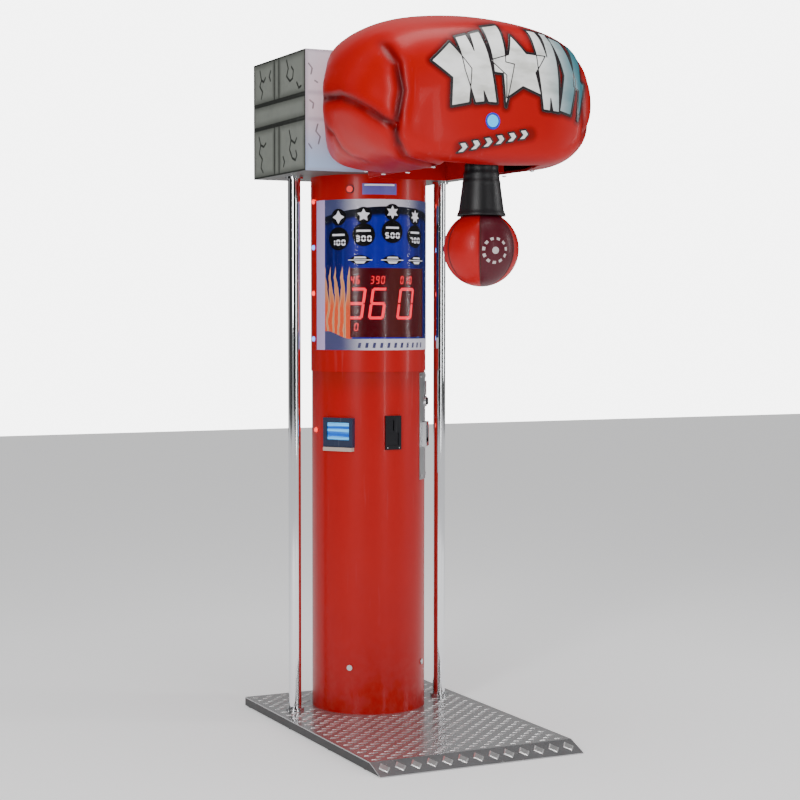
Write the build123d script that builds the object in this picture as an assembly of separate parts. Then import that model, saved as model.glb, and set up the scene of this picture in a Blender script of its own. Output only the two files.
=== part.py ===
"""Boxing punch machine: a round column on a tread-plate platform carries a wall-like box,
from which a giant boxing glove reaches out over the player.  A punch bag hangs from a
pivot shaft inside the glove and swings up into a well in the glove's underside.

Millimetres, +Z up.  The origin is on the floor, on the axis of the column.
The player stands at -Y, facing +Y; +X is on the player's right.
Angles round the column are measured from the front (-Y) towards +X, in degrees.
"""

import os
from math import asin, cos, degrees, radians, sin, sqrt

from build123d import *

# ---------------------------------------------------------------- driving dimensions
# platform
base_width = 660
base_front = 780  # from the column's axis to the front tip of the ramp
base_back = 250
pad_thickness = 3
frame_height = 24
plate_thickness = 3
ramp_run = 70
rail_width = 40
member_width = 40
member_pitch = 115
members_behind = 2  # cross members behind the column's axis
members_ahead = 6
tip_clearance = 0.5  # the ramp's tip over the floor

# column
lower_radius = 181
shell_step = 3  # the upper shell stands over the lower
upper_radius = lower_radius + shell_step
shell_wall = 3
seam_z = 1107
head_z = 1720  # underside of the wall box
ring_thickness = 8
ring_width = 46
bolt_count = 8
bolt_radius = 5
bolt_clearance = 0.5
joint_ring_height = 30  # above and below the seam
joint_ring_wall = 6

# posts
post_radius = 20
post_wall = 2
post_offset = 257
collar_radius = 28
collar_height = 10

# display
window_bottom = 1175
window_top = 1643
window_angle = 87
art_sheet = 0.8
window_wall = 3
window_gap = 0.3
strip_angle = 6.2  # width of the strip that carries the lamps
strip_step = 1  # the strip stands this much over the window
score_angle = 43
score_bottom = 1215
score_top = 1430
filter_inset = 0.3
digit_depth = 12
large_digit_height = 130
small_digit_height = 36

# column fittings
fittings_z = 917
bill_angle = -56
bill_width = 108
bill_height = 92
coin_width = 54
coin_height = 106
mech_angle = 56
mech_width = 112
mech_bottom = 762
mech_top = 1102
mech_plate = 2.5
mech_cup_z = 905
mech_button_z = 1010
mech_button_radius = 12
mech_button_travel = 5
mech_slot_rise = 42  # the coin slot over the return button
coin_slot_width = 3.5
bill_slot_height = 3.5
cup_width = 53
cup_height = 55
cup_depth = 45
cup_wall = 4
flap_pin_radius = 1.8
button_clearance = 0.1
select_angle = -43
select_drop = 46  # the button below the wall box
select_z = head_z - select_drop
select_radius = 13
select_travel = 3
label_from = -31
label_to = 3
label_height = 34
label_thickness = 1.5
lamp_pitch = 144
lamp_top = 1641
lamp_radius = 8
lamp_stem_radius = 5.8
lamp_hole_clearance = 0.2
plug_angle = 44
plug_z = 177
inlet_z = 110
inlet_width = 47
inlet_height = 27

# service door at the back
door_angle = 38  # half of the door's opening
door_bottom = 200
door_top = 1000
door_gap = 2
door_pin_radius = 4
knuckle_radius = 8
knuckle_offset = 9  # hinge axis over the shell
knuckle_half = 19.7
leaf_thickness = 3
pin_clearance = 0.05
lock_z = 600
lock_radius = 11
lock_angle = 9  # from the door's free edge
lock_depth = 18  # from the shell's face in to the cam
shelf_z = 280
shelf_thickness = 4
cash_box_height = 146

# wall box
box_width = 620
box_front = 215
box_back = 205
box_height = 364
box_wall = 3
passage_width = 380
passage_rise = 53  # over the box's underside
passage_bottom = head_z + passage_rise
passage_height = 267
passage_top = passage_bottom + passage_height

pivot_rise = 80  # the bag's pivot over the box's underside
pivot_z = head_z + pivot_rise

# glove: (distance ahead of the column's axis, half width, bottom and top from the pivot, corner radius)
glove_sections = [
    (215, 244, -62, 300, 110),
    (330, 300, -89, 332, 135),
    (480, 365, -109, 350, 200),
    (620, 385, -110, 348, 208),
    (720, 372, -110, 322, 190),
    (790, 328, -104, 282, 158),
    (830, 272, -86, 232, 115),
    (850, 185, -50, 180, 75),
]
glove_wall = 6
glove_drop = 110
glove_floor = pivot_z - glove_drop  # the level of its underside round the bag

# punch arm
pivot_ahead = 749
arm_length = 330.5
bag_radius = 111
bag_flat_radius = 42
arm_radius = 17
clamp_disc_radius = 40
clamp_disc_thickness = 5
hub_radius = 28
hub_half_length = 40
shaft_radius = 12.5
shaft_clearance = 0.05
sleeve_top_radius = 50
sleeve_bottom_radius = 67
sleeve_wall = 4
sleeve_top_drop = 75  # below the pivot
stop_arm_reach = 65
stop_arm_thickness = 16
stop_arm_width = 24
contact_gap = 0.3

# booms and well
boom_width = 30
boom_height = 50
boom_wall = 4
boom_front = 835
boom_back = 195
bearing_width = 26
bearing_depth = 64
well_clearance = 21  # beside the bag
well_half_width = bag_radius + well_clearance
well_front_offset = 109  # from the pivot
well_front = pivot_ahead - well_front_offset
well_back_clearance = 22.5  # behind the bag when it is up
well_back = pivot_ahead - arm_length - bag_radius - well_back_clearance
well_top_clearance = 15
well_top = pivot_z + bag_radius + well_top_clearance
liner_wall = 2
slot_front_offset = 60  # ahead of the pivot
slot_front = pivot_ahead + slot_front_offset
slot_lip = 8  # behind the well
slot_back = well_back - slot_lip
slot_margin = 18  # beside the well
slot_half_width = well_half_width + slot_margin
boom_gap = 5  # beside the slot
boom_inner = slot_half_width + boom_gap
bar_offset = 49  # behind the pivot
bar_ahead = pivot_ahead - bar_offset
bar_thickness = 10
bar_rise = 40  # over the pivot
bar_bottom = pivot_z + bar_rise
bar_height = 72
bar_top = bar_bottom + bar_height
front_bar_thickness = 10
buffer_radius = 9
switch_clear = 5  # free space under the start switch

# latch
cam_x = 74
cam_radius = 42
cam_thickness = 4
pawl_thickness = 6
pawl_offset = 77  # behind the bag's pivot
pawl_pivot_ahead = pivot_ahead - pawl_offset
pawl_rise = 35  # over the bag's pivot
pawl_pivot_z = pivot_z + pawl_rise
pawl_pin_radius = 4
pawl_contact_reach = 24
pawl_gap = 1
plunger_radius = 6
solenoid_rise = 27  # over the pawl's pivot
solenoid_bottom = pawl_pivot_z + solenoid_rise
disc_x = -74
disc_radius = 40
disc_thickness = 3
slot_count = 24

# start button
start_rise = 17  # over the bag's pivot
start_x = -24
start_z = pivot_z + start_rise
start_bezel_radius = 24
start_cap_radius = 17
start_travel = 4

# ---------------------------------------------------------------- derived places
frame_top = pad_thickness + frame_height
deck_z = frame_top + plate_thickness
through_in = lower_radius - 81  # cuts for the fittings run from here
through_out = lower_radius + 79
lower_inner = lower_radius - shell_wall
upper_inner = upper_radius - shell_wall
art_outer = upper_radius + art_sheet
window_inner = art_outer + window_gap
window_outer = window_inner + window_wall
strip_outer = window_outer + strip_step
lamp_angle = window_angle + strip_angle / 2 + 0.3
mech_face = lower_radius + mech_plate
box_top = head_z + box_height
glove_front = glove_sections[-1][0]
pivot_y = -pivot_ahead
bag_z = pivot_z - arm_length
bag_flat_z = bag_z + sqrt(bag_radius**2 - bag_flat_radius**2)
boom_low = pivot_z - boom_height / 2
boom_high = pivot_z + boom_height / 2
start_barrel_radius = start_cap_radius + 1.5

os.makedirs("parts", exist_ok=True)


# ---------------------------------------------------------------- helpers
def save(name, *shapes):
    """Write one node: all the solids of the given shapes."""
    solids = [solid for shape in shapes for solid in shape.solids()]
    shape = solids[0] if len(solids) == 1 else Compound(solids)
    export_step(shape, f"parts/{name}.step")


def block(x0, x1, y0, y1, z0, z1):
    """A box between two corners."""
    return Pos((x0 + x1) / 2, (y0 + y1) / 2, (z0 + z1) / 2) * Box(abs(x1 - x0), abs(y1 - y0), abs(z1 - z0))


def upright(radius, z0, z1, x=0, y=0):
    """A vertical cylinder."""
    return Pos(x, y, (z0 + z1) / 2) * Cylinder(radius, z1 - z0)


def tube(outer, inner, z0, z1, x=0, y=0):
    """A vertical tube."""
    return upright(outer, z0, z1, x, y) - upright(inner, z0 - 1, z1 + 1, x, y)


def along_x(radius, x0, x1, y, z):
    """A cylinder along X."""
    return Pos((x0 + x1) / 2, y, z) * Rot(0, 90, 0) * Cylinder(radius, x1 - x0)


def along_y(radius, y0, y1, x, z):
    """A cylinder along Y."""
    return Pos(x, (y0 + y1) / 2, z) * Rot(90, 0, 0) * Cylinder(radius, y1 - y0)


def sector(inner, outer, z0, z1, from_angle, to_angle):
    """A piece of a vertical tube between two angles round the column."""
    profile = Plane.XZ * Pos((inner + outer) / 2, (z0 + z1) / 2) * Rectangle(outer - inner, z1 - z0)
    piece = revolve(profile, axis=Axis.Z, revolution_arc=to_angle - from_angle)
    return Rot(0, 0, from_angle - 90) * piece


def outside(radius, z0, z1):
    """Everything near the column that lies outside a radius, to seat a fitting on a round shell."""
    return tube(radius + 80, radius, z0, z1)


def facing(angle, radius, z):
    """A plane on the column: x runs round it, y is up and z points outwards."""
    a = radians(angle)
    origin = (radius * sin(a), -radius * cos(a), z)
    return Plane(origin=origin, x_dir=(cos(a), sin(a), 0), z_dir=(sin(a), -cos(a), 0))


def facing_box(angle, z, width, height, inner, outer):
    """A box that faces outwards, between two distances from the column's axis."""
    return facing(angle, (inner + outer) / 2, z) * Box(width, height, outer - inner)


def facing_rod(angle, z, radius, inner, outer):
    """A round bar that points outwards, between two distances from the column's axis."""
    return facing(angle, (inner + outer) / 2, z) * Cylinder(radius, outer - inner)


def side_plate(points, x0, x1):
    """A plate between two X values, outlined by (y, z) points."""
    face = Plane.YZ * make_face(Polyline(*points, close=True))
    return Pos(x0, 0, 0) * extrude(face, x1 - x0)


# ---------------------------------------------------------------- platform
def foot_bolt_places():
    """Bolt places of the flanges at both ends of the column."""
    pitch_radius = lower_inner - ring_width / 2
    turns = [radians(360 / bolt_count * (i + 0.5)) for i in range(bolt_count)]
    return [(pitch_radius * cos(a), pitch_radius * sin(a)) for a in turns]


def bolt_holes(z0, z1):
    """Clearance holes for the flange bolts."""
    return [upright(bolt_radius + bolt_clearance, z0, z1, x, y) for x, y in foot_bolt_places()]


def make_platform():
    """A welded frame under a tread plate that slopes down to the floor at the front."""
    half = base_width / 2
    inner = half - rail_width
    ramp_start = base_front - ramp_run
    slope = (deck_z - tip_clearance - plate_thickness) / ramp_run
    rail_tip = ramp_start + frame_height / slope - 4
    rail = [
        (base_back, pad_thickness),
        (base_back, frame_top),
        (-ramp_start, frame_top),
        (-rail_tip, pad_thickness),
    ]
    frame = [side_plate(rail, -half, -inner), side_plate(rail, inner, half)]
    for i in range(-members_ahead, members_behind + 1):
        y = i * member_pitch
        member = block(-inner, inner, y - member_width / 2, y + member_width / 2, pad_thickness, frame_top)
        frame.append(member)
    save("platform_frame", frame[0] + frame[1] + frame[2:])

    plate = [
        (base_back, frame_top),
        (base_back, deck_z),
        (-ramp_start, deck_z),
        (-base_front, tip_clearance + plate_thickness),
        (-base_front, tip_clearance),
        (-ramp_start, frame_top),
    ]
    save("tread_plate", side_plate(plate, -half, half) - bolt_holes(frame_top - 1, deck_z + 1))

    pads = [upright(60, 0, pad_thickness)]
    for side in (-1, 1):
        for ahead in (-base_back + 30, 120, 420, ramp_start - 40):
            pads.append(upright(18, 0, pad_thickness, side * (half - rail_width / 2), -ahead))
    save("rubber_pads", *pads)


# ---------------------------------------------------------------- column
def hex_bolt(x, y, under_head, down_to):
    """A bolt with its head above `under_head` and its shank down to `down_to`."""
    head = Pos(x, y, under_head) * extrude(RegularPolygon(bolt_radius * 1.7, 6), bolt_radius * 1.3)
    return head + upright(bolt_radius, down_to, under_head, x, y)


def make_column_rings():
    """Flanges at the foot and the head, and the stepped ring that joins the two shells."""
    foot_top = deck_z + ring_thickness
    head_low = head_z - ring_thickness
    foot = tube(lower_inner, lower_inner - ring_width, deck_z, foot_top)
    foot -= bolt_holes(deck_z - 1, foot_top + 1)
    head = tube(upper_inner, upper_inner - ring_width, head_low, head_z)
    head -= bolt_holes(head_low - 1, head_z + 1)
    bore = lower_inner - joint_ring_wall
    joint = tube(lower_inner, bore, seam_z - joint_ring_height, seam_z)
    joint += tube(upper_inner, bore, seam_z, seam_z + joint_ring_height)
    save("column_rings", foot, head, joint)
    bolts = [hex_bolt(x, y, foot_top, frame_top) for x, y in foot_bolt_places()]
    bolts += [hex_bolt(x, y, head_z + box_wall, head_low) for x, y in foot_bolt_places()]
    save("column_bolts", *bolts)


def lamp_heights(on_upper):
    """Lamp heights down each side of the column; the place just under the seam has none."""
    heights = [lamp_top - i * lamp_pitch for i in (0, 1, 2, 3, 5)]
    return [z for z in heights if (z > seam_z) == on_upper]


def lamp_holes(on_upper):
    """Holes for the lamps' stems."""
    hole = lamp_stem_radius + lamp_hole_clearance
    places = [(side * lamp_angle, z) for side in (-1, 1) for z in lamp_heights(on_upper)]
    return [facing_rod(angle, z, hole, lower_inner - 10, strip_outer + 10) for angle, z in places]


def make_lower_shell():
    """The lower tube, with the openings for the fittings and the service door."""
    shell = tube(lower_radius, lower_inner, deck_z, seam_z)
    deep = lower_inner - 60
    high = lower_radius + 20
    shell -= facing_box(bill_angle, fittings_z, bill_width - 12, bill_height - 12, deep, high)
    shell -= facing_box(0, fittings_z, coin_width - 10, coin_height - 12, deep, high)
    shell -= facing_box(mech_angle, mech_cup_z, cup_width + 11, cup_height + 11, deep, high)
    shell -= facing_box(mech_angle, mech_button_z, 34, 110, deep, high)
    shell -= sector(deep, high, door_bottom, door_top, 180 - door_angle, 180 + door_angle)
    shell -= facing_box(180, inlet_z, inlet_width + 1, inlet_height + 1, deep, high)
    for side in (-1, 1):
        shell -= facing_rod(side * plug_angle, plug_z, 5.2, deep, high)
    save("column_lower_shell", shell - lamp_holes(False))


def make_upper_shell():
    """The upper tube, a little larger, with the score opening behind the window."""
    shell = tube(upper_radius, upper_inner, seam_z, head_z)
    deep = upper_inner - 20
    high = upper_radius + 20
    shell -= sector(deep, high, score_bottom, score_top, -score_angle, score_angle)
    shell -= facing_rod(select_angle, select_z, select_radius - 2, deep, high)
    save("column_upper_shell", shell - lamp_holes(True))


def lamp(side, z):
    """A domed lamp with its stem through the shell."""
    seat = strip_outer if z > seam_z else lower_radius
    angle = side * lamp_angle
    dome = facing(angle, seat, z) * Sphere(lamp_radius) & outside(seat + 0.02, z - 30, z + 30)
    return dome + facing_rod(angle, z, lamp_stem_radius, lower_inner - 6, seat + 1)


def make_lamps():
    """Lamps down both sides, red and blue in turn."""
    for name, steps in (("side_lamps_red", (0, 2, 5)), ("side_lamps_blue", (1, 3))):
        save(name, *[lamp(side, lamp_top - i * lamp_pitch) for side in (-1, 1) for i in steps])


def make_posts():
    """A chrome tube on each side of the column, with a collar at each end."""
    posts, collars = [], []
    for side in (-1, 1):
        x = side * post_offset
        posts.append(tube(post_radius, post_radius - post_wall, deck_z, head_z, x))
        collars.append(tube(collar_radius, post_radius, deck_z, deck_z + collar_height, x))
        collars.append(tube(collar_radius, post_radius, head_z - collar_height, head_z, x))
    save("side_posts", *posts)
    save("post_collars", *collars)


# ---------------------------------------------------------------- display
def make_window():
    """The curved window over its printed sheet, between two edge strips."""
    art = sector(upper_radius, art_outer, window_bottom, window_top, -window_angle, window_angle)
    art -= sector(upper_radius - 1, art_outer + 1, score_bottom, score_top, -score_angle, score_angle)
    save("display_art_sheet", art)
    window = sector(window_inner, window_outer, window_bottom, window_top, -window_angle, window_angle)
    save("display_window", window)
    strips = []
    for side in (-1, 1):
        low, high = lamp_angle - strip_angle / 2, lamp_angle + strip_angle / 2
        ends = sorted((side * low, side * high))
        strips.append(sector(upper_radius, strip_outer, window_bottom, window_top, *ends) - lamp_holes(True))
    save("window_edge_strips", *strips)
    low, high = select_z - label_height / 2, select_z + label_height / 2
    save("name_plate", sector(upper_radius, upper_radius + label_thickness, low, high, label_from, label_to))


def make_score_unit():
    """The tinted filter in the shell's opening, and the digit board behind it."""
    reach = score_angle - filter_inset
    tint = sector(upper_inner + 0.4, upper_radius - 0.2, score_bottom + 0.5, score_top - 0.5, -reach, reach)
    save("score_filter", tint)

    board_y = -upper_inner * cos(radians(score_angle)) + 6
    board_half = upper_inner * sin(radians(score_angle)) - 6
    board = [block(-board_half, board_half, board_y, board_y + 3, score_bottom + 6, score_top - 6)]
    large_bottom = score_bottom + 16
    small_bottom = large_bottom + large_digit_height + 8
    rows = ((large_bottom, 66, large_digit_height), (small_bottom, 56, small_digit_height))
    for x in (-board_half * 0.62, 0, board_half * 0.62):
        for low, width, height in rows:
            half = width / 2
            board.append(block(x - half, x + half, board_y - digit_depth, board_y, low, low + height))
    save("score_board", *board)

    brackets = []
    low, high = score_bottom - 14, score_top + 10
    for side in (-1, 1):
        x = side * (board_half - 14)
        wall_y = -sqrt(upper_inner**2 - (abs(x) + 8) ** 2) + 0.1
        bracket = block(x - 8, x + 8, board_y + 3, board_y + 6, low, high)
        for z in (low, high - 3):
            bracket += block(x - 8, x + 8, wall_y, board_y + 6, z, z + 3)
        brackets.append(bracket)
    save("score_board_brackets", *brackets)


def make_select_button():
    """Red push button beside the name plate: its bezel and switch in one housing, and its cap."""
    cap_radius = select_radius - 3.1
    bore_radius = cap_radius + button_clearance
    bore = facing_rod(select_angle, select_z, bore_radius, upper_radius - 16, upper_radius + 30)
    bezel = facing_rod(select_angle, select_z, select_radius, upper_radius - 10, upper_radius + 4)
    bezel &= outside(upper_radius + 0.02, select_z - 30, select_z + 30)
    neck = facing_rod(select_angle, select_z, select_radius - 2.1, upper_radius - 32, upper_radius + 2)
    save("select_housing", bezel + neck - bore)
    save("select_cap", facing_rod(select_angle, select_z, cap_radius, upper_radius - 11, upper_radius + 6))


# ---------------------------------------------------------------- coin and bill fittings
def make_bill_acceptor():
    """Bezel with a chin strip, and the validator that pushes its mouth up into the bezel."""
    z = fittings_z
    throat_width, throat_height = bill_width - 26, bill_height - 38
    bezel = facing_box(bill_angle, z, bill_width, bill_height, lower_radius - 31, lower_radius + 6)
    bezel -= facing_box(bill_angle, z + 4, throat_width, throat_height, through_in, through_out)
    bezel &= outside(lower_radius, z - 60, z + 60)
    chin_z = z - bill_height / 2 - 6.2
    chin = facing_box(bill_angle, chin_z, bill_width - 4, 12, lower_radius - 31, lower_radius + 10)
    save("bill_bezel", bezel, chin & outside(lower_radius, z - 80, z + 60))
    deep = lower_radius - 61
    unit = facing_box(bill_angle, z + 4, throat_width - 1, throat_height - 1, deep, lower_radius + 1)
    unit += facing_box(bill_angle, z, bill_width - 28, bill_height - 2, lower_radius - 141, deep)
    unit -= facing_box(bill_angle, z - 10, bill_width - 40, bill_slot_height, lower_radius - 36, through_out)
    save("bill_validator", unit)


def make_coin_acceptor():
    """Black coin bezel at the front and its validator."""
    slot_z = fittings_z + 22
    bezel = facing_box(0, fittings_z, coin_width, coin_height, lower_radius - 31, lower_radius + 5)
    bezel -= facing_box(0, slot_z, coin_slot_width, 34, through_in, through_out)
    bezel -= facing_box(0, fittings_z - 20, coin_width - 18, 40, lower_radius + 2, lower_radius + 9)
    save("coin_bezel", bezel & outside(lower_radius, fittings_z - 60, fittings_z + 60))
    unit = facing_box(0, fittings_z, coin_width - 12, coin_height - 16, through_in, lower_radius + 20)
    unit &= upright(lower_radius - 0.1, fittings_z - 80, fittings_z + 80)
    save("coin_validator", unit - facing_box(0, slot_z, coin_slot_width + 1, 36, lower_radius - 41, through_out))


def mech_half_angle():
    return degrees(asin(mech_width / 2 / lower_radius))


def mech_screw_places():
    """Corners of the coin mechanism's plate."""
    reach = mech_half_angle() - 3.5
    return [(mech_angle + side * reach, z) for side in (-1, 1) for z in (mech_bottom + 12, mech_top - 12)]


def make_mech_plate():
    """The chrome plate on the player's right, with its coin slot and button rings."""
    half = mech_half_angle()
    slot_z = mech_button_z + mech_slot_rise
    plate = sector(lower_radius, mech_face, mech_bottom, mech_top, mech_angle - half, mech_angle + half)
    plate -= facing_box(mech_angle, mech_cup_z, cup_width + 9, cup_height + 9, through_in, through_out)
    plate -= facing_rod(mech_angle, mech_button_z, mech_button_radius, through_in, through_out)
    plate -= facing_box(mech_angle, slot_z, coin_slot_width + 1, 32, through_in, through_out)
    for angle, z in mech_screw_places():
        plate -= facing_rod(angle, z, 3.2, through_in, through_out)
    save("mech_plate", plate)

    slot = facing_box(mech_angle, slot_z, 20, 46, lower_radius - 21, mech_face + 4)
    slot -= facing_box(mech_angle, slot_z, coin_slot_width, 31, through_in, through_out)
    ring = facing_rod(mech_angle, mech_button_z, mech_button_radius + 5, lower_radius - 21, mech_face + 5)
    ring -= facing_rod(mech_angle, mech_button_z, mech_button_radius, through_in, through_out)
    seat = outside(mech_face + 0.05, mech_button_z - 30, mech_top)
    save("mech_bezels", slot & seat, ring & seat)

    radius = mech_button_radius - button_clearance
    save("return_button", facing_rod(mech_angle, mech_button_z, radius, mech_face - 14, mech_face + 10))
    stop = mech_face - 14 - mech_button_travel - 1
    unit = facing_box(mech_angle, mech_button_z + 12, 44, 120, lower_radius - 76, lower_radius - 31)
    unit += facing_rod(mech_angle, mech_button_z, 9, lower_radius - 31, stop)
    for rise in (-38, 62):
        lug = facing_box(mech_angle, mech_button_z + rise, 44, 8, 149, lower_radius)
        unit += lug & upright(lower_inner - 0.1, mech_bottom, seam_z)
    save("coin_mechanism", unit)


def make_screws():
    """Screws of the chrome plate and the back cover, and the two plugs low on the column."""
    reach = box_width / 2 - 16
    places = [(x, z) for x in (-reach, 0, reach) for z in (head_z + 16, box_top - 16)]
    screws = [along_y(5, box_back + 2, box_back + 5, x, z) for x, z in places]
    for angle, z in mech_screw_places():
        screw = facing_rod(angle, z, 5.5, mech_face + 0.3, mech_face + 2.9)
        screws.append(screw + facing_rod(angle, z, 3, lower_radius + 0.5, mech_face + 1))
    for side in (-1, 1):
        plug = facing_rod(side * plug_angle, plug_z, 9, lower_radius + 0.3, lower_radius + 3)
        screws.append(plug + facing_rod(side * plug_angle, plug_z, 5, lower_inner - 12, lower_radius + 1))
    save("panel_screws", *screws)


def make_return_cup():
    """A cup with a proud rim, and the flap that hangs in its mouth."""
    z = mech_cup_z
    front = lower_radius + 6
    width, height = cup_width + 2 * cup_wall, cup_height + 2 * cup_wall
    cup = facing_box(mech_angle, z, width, height, front - cup_depth - 10, front)
    rim = facing_box(mech_angle, z, width + 15, height + 15, lower_radius - 31, mech_face + 8)
    rim &= outside(mech_face + 0.05, z - 80, z + 80)
    flap_depth = lower_radius - 5
    pin_z = z + cup_height / 2 - 2.3
    pin_plane = facing(mech_angle, flap_depth, pin_z)
    bore = flap_pin_radius + pin_clearance
    cup = cup + rim - facing_box(mech_angle, z, cup_width, cup_height, front - cup_depth - 6, 300)
    cup -= pin_plane * Rot(0, 90, 0) * Cylinder(bore, width - 2)
    save("return_cup", cup)
    flap = facing_box(mech_angle, pin_z - 22.4, cup_width - 2, 45, flap_depth - 1, flap_depth + 1)
    save("return_flap", flap + pin_plane * Rot(0, 90, 0) * Cylinder(flap_pin_radius, width - 3))


def make_power():
    """Mains inlet low at the back, and the power supply on the foot flange."""
    wide, tall = inlet_width, inlet_height
    flange = facing_box(180, inlet_z, wide + 14, tall + 8, lower_radius - 31, lower_radius + 5)
    flange &= outside(lower_radius, inlet_z - 50, inlet_z + 50)
    body = facing_box(180, inlet_z, wide, tall, lower_radius - 30, lower_radius + 3)
    socket = facing_box(180, inlet_z, wide - 22, tall - 11, lower_radius - 20, 300)
    save("power_inlet", flange + body - socket)
    supply_low = deck_z + ring_thickness
    save("power_supply", block(-70, 70, -130, -30, supply_low, supply_low + 60))


# ---------------------------------------------------------------- service door
def hinge_axis():
    """Where the door's pins stand: outside the shell, at the opening's edge on +X."""
    a = radians(180 - door_angle)
    r = lower_radius + knuckle_offset
    return r * sin(a), -r * cos(a)


def hinge_half(z0, z1, from_angle, to_angle, bridge_angle, bore):
    """A leaf on the shell's outside, with its knuckle round the pin."""
    x, y = hinge_axis()
    leaf = sector(lower_radius, lower_radius + leaf_thickness, z0, z1, from_angle, to_angle)
    bridge = facing_box(bridge_angle, (z0 + z1) / 2, 8, z1 - z0, lower_radius - 5, lower_radius + 6)
    knuckle = upright(knuckle_radius, z0, z1, x, y)
    half = (leaf + bridge + knuckle) & outside(lower_radius, z0, z1)
    return half - upright(bore, z0 - 1, z1 + 1, x, y)


def make_service_door():
    """A curved door on two hinges, with a cam lock near its free edge."""
    inset = degrees(door_gap / lower_radius)
    edge = 180 - door_angle
    low, high = edge + inset, 180 + door_angle - inset
    door = sector(lower_inner, lower_radius, door_bottom + door_gap, door_top - door_gap, low, high)
    lock_plane = facing(180 + door_angle - lock_angle, lower_radius, lock_z)
    door -= lock_plane * Cylinder(lock_radius + button_clearance, 40)
    fixed, pins = [], []
    x, y = hinge_axis()
    for z in (door_bottom + 90, door_top - 90):
        bore = door_pin_radius + pin_clearance
        door += hinge_half(z - knuckle_half, z + knuckle_half, low + 0.3, edge + 12, edge + 2.6, bore)
        for end in (-1, 1):
            near, far = sorted((z + end * 20, z + end * 40))
            fixed.append(hinge_half(near, far, edge - 12, edge - 0.5, edge - 2.6, door_pin_radius))
        pins.append(upright(door_pin_radius, z - 40, z + 40, x, y))
    save("service_door", door)
    save("door_hinge_leaves", *fixed)
    save("door_hinge_pins", *pins)

    plug = lock_plane * Pos(0, 0, (3 - lock_depth) / 2) * Cylinder(lock_radius, lock_depth + 3)
    plug -= lock_plane * Pos(0, 0, 3) * Box(2, 9, 8)
    save("door_lock", plug + lock_plane * Pos(0, 14, -lock_depth - 1.5) * Box(16, 44, 3))


def make_cash_box():
    """A shelf across the column with the open cash box on it."""
    disc = upright(lower_inner - 0.3, shelf_z, shelf_z + shelf_thickness)
    save("cash_shelf", disc & block(-300, 300, -300, 130, 0, seam_z))
    low = shelf_z + shelf_thickness
    box = block(-85, 85, -60, 80, low, low + cash_box_height)
    save("cash_box", box - block(-83, 83, -58, 78, low + 2, low + cash_box_height + 1))


# ---------------------------------------------------------------- wall box
def make_wall_box():
    """The box that stands for a stone wall, open at the back under a screwed cover."""
    half = box_width / 2
    inside = half - box_wall
    low, high = head_z + box_wall, box_top - box_wall
    side = passage_width / 2
    box = block(-half, half, -box_front, box_back, head_z, box_top)
    box -= block(-inside, inside, -box_front + box_wall, box_back - 3, low, high)
    box -= block(-inside + 24, inside - 24, box_back - 10, box_back + 1, low + 24, high - 24)
    box -= block(-side, side, -box_front - 1, -box_front + box_wall + 1, passage_bottom, passage_top)
    save("wall_box", box - bolt_holes(head_z - 1, low + 1))
    save("box_back_cover", block(-half + 6, half - 6, box_back, box_back + 2, head_z + 6, box_top - 6))


# ---------------------------------------------------------------- booms inside the glove
def make_booms():
    """Two square tubes that carry the glove and the pivot, on saddles inside the wall box."""
    wall = boom_wall
    booms = []
    for side in (-1, 1):
        x0, x1 = sorted((side * boom_inner, side * (boom_inner + boom_width)))
        boom = block(x0, x1, -boom_front, boom_back, boom_low, boom_high)
        boom -= block(x0 + wall, x1 - wall, -boom_front - 1, boom_back + 1, boom_low + wall, boom_high - wall)
        for y in (-150, 150):
            boom += block(x0, x1, y - 25, y + 25, head_z + box_wall, boom_low)
        booms.append(boom)
    save("booms", *booms)


def make_cross_bars():
    """The bar that the arm rests against and the one that it parks against, with their buffers."""
    rest_y = -bar_ahead
    ear = boom_inner + 12
    rest = block(-boom_inner, boom_inner, rest_y, rest_y + bar_thickness, bar_bottom, bar_top)
    for side in (-1, 1):
        rest += block(side * boom_inner, side * ear, rest_y, rest_y + bar_thickness, boom_high, bar_top)
    save("rest_bar", rest)

    park_y = -boom_front
    park_top = start_z - start_barrel_radius - switch_clear
    park = block(-boom_inner, boom_inner, park_y, park_y + front_bar_thickness, boom_low, park_top)
    park += block(-30, 30, park_y + front_bar_thickness, park_y + 45, boom_low, boom_low + 4)
    save("park_bar", park)

    half = stop_arm_thickness / 2
    tip = stop_arm_reach - 12
    rest_buffer = along_y(buffer_radius, pivot_y + half + contact_gap, rest_y, 0, pivot_z + tip)
    park_buffer = upright(buffer_radius, boom_low + 4, pivot_z - half - contact_gap, 0, pivot_y - tip)
    save("arm_buffers", rest_buffer, park_buffer)


# ---------------------------------------------------------------- glove
def glove_body(inset):
    """The glove's outer form, or its inside when inset is the wall's thickness."""
    back, front = glove_sections[0][0], glove_front
    sections = []
    for ahead, half, low, high, corner in glove_sections:
        y = -(ahead + inset - 2 * inset * (ahead - back) / (front - back))
        plane = Plane(origin=(0, y, pivot_z + (low + high) / 2), x_dir=(1, 0, 0), z_dir=(0, -1, 0))
        outline = RectangleRounded(2 * (half - inset), high - low - 2 * inset, corner - inset)
        sections.append(plane * outline)
    return loft(sections)


def make_glove():
    """Hollow glove, open to the wall box behind and over the bag below."""
    shell = glove_body(0) - glove_body(glove_wall)
    side = passage_width / 2
    half = slot_half_width
    back = -box_front
    shell -= block(-side, side, back - glove_wall - 1, back + 1, passage_bottom, passage_top)
    shell -= block(-half, half, -slot_front, -slot_back, glove_floor - 30, glove_floor + 90)
    shell -= along_y(start_barrel_radius + 0.1, -glove_front - 5, -glove_front + 40, start_x, start_z)
    save("glove_shell", shell)


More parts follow.
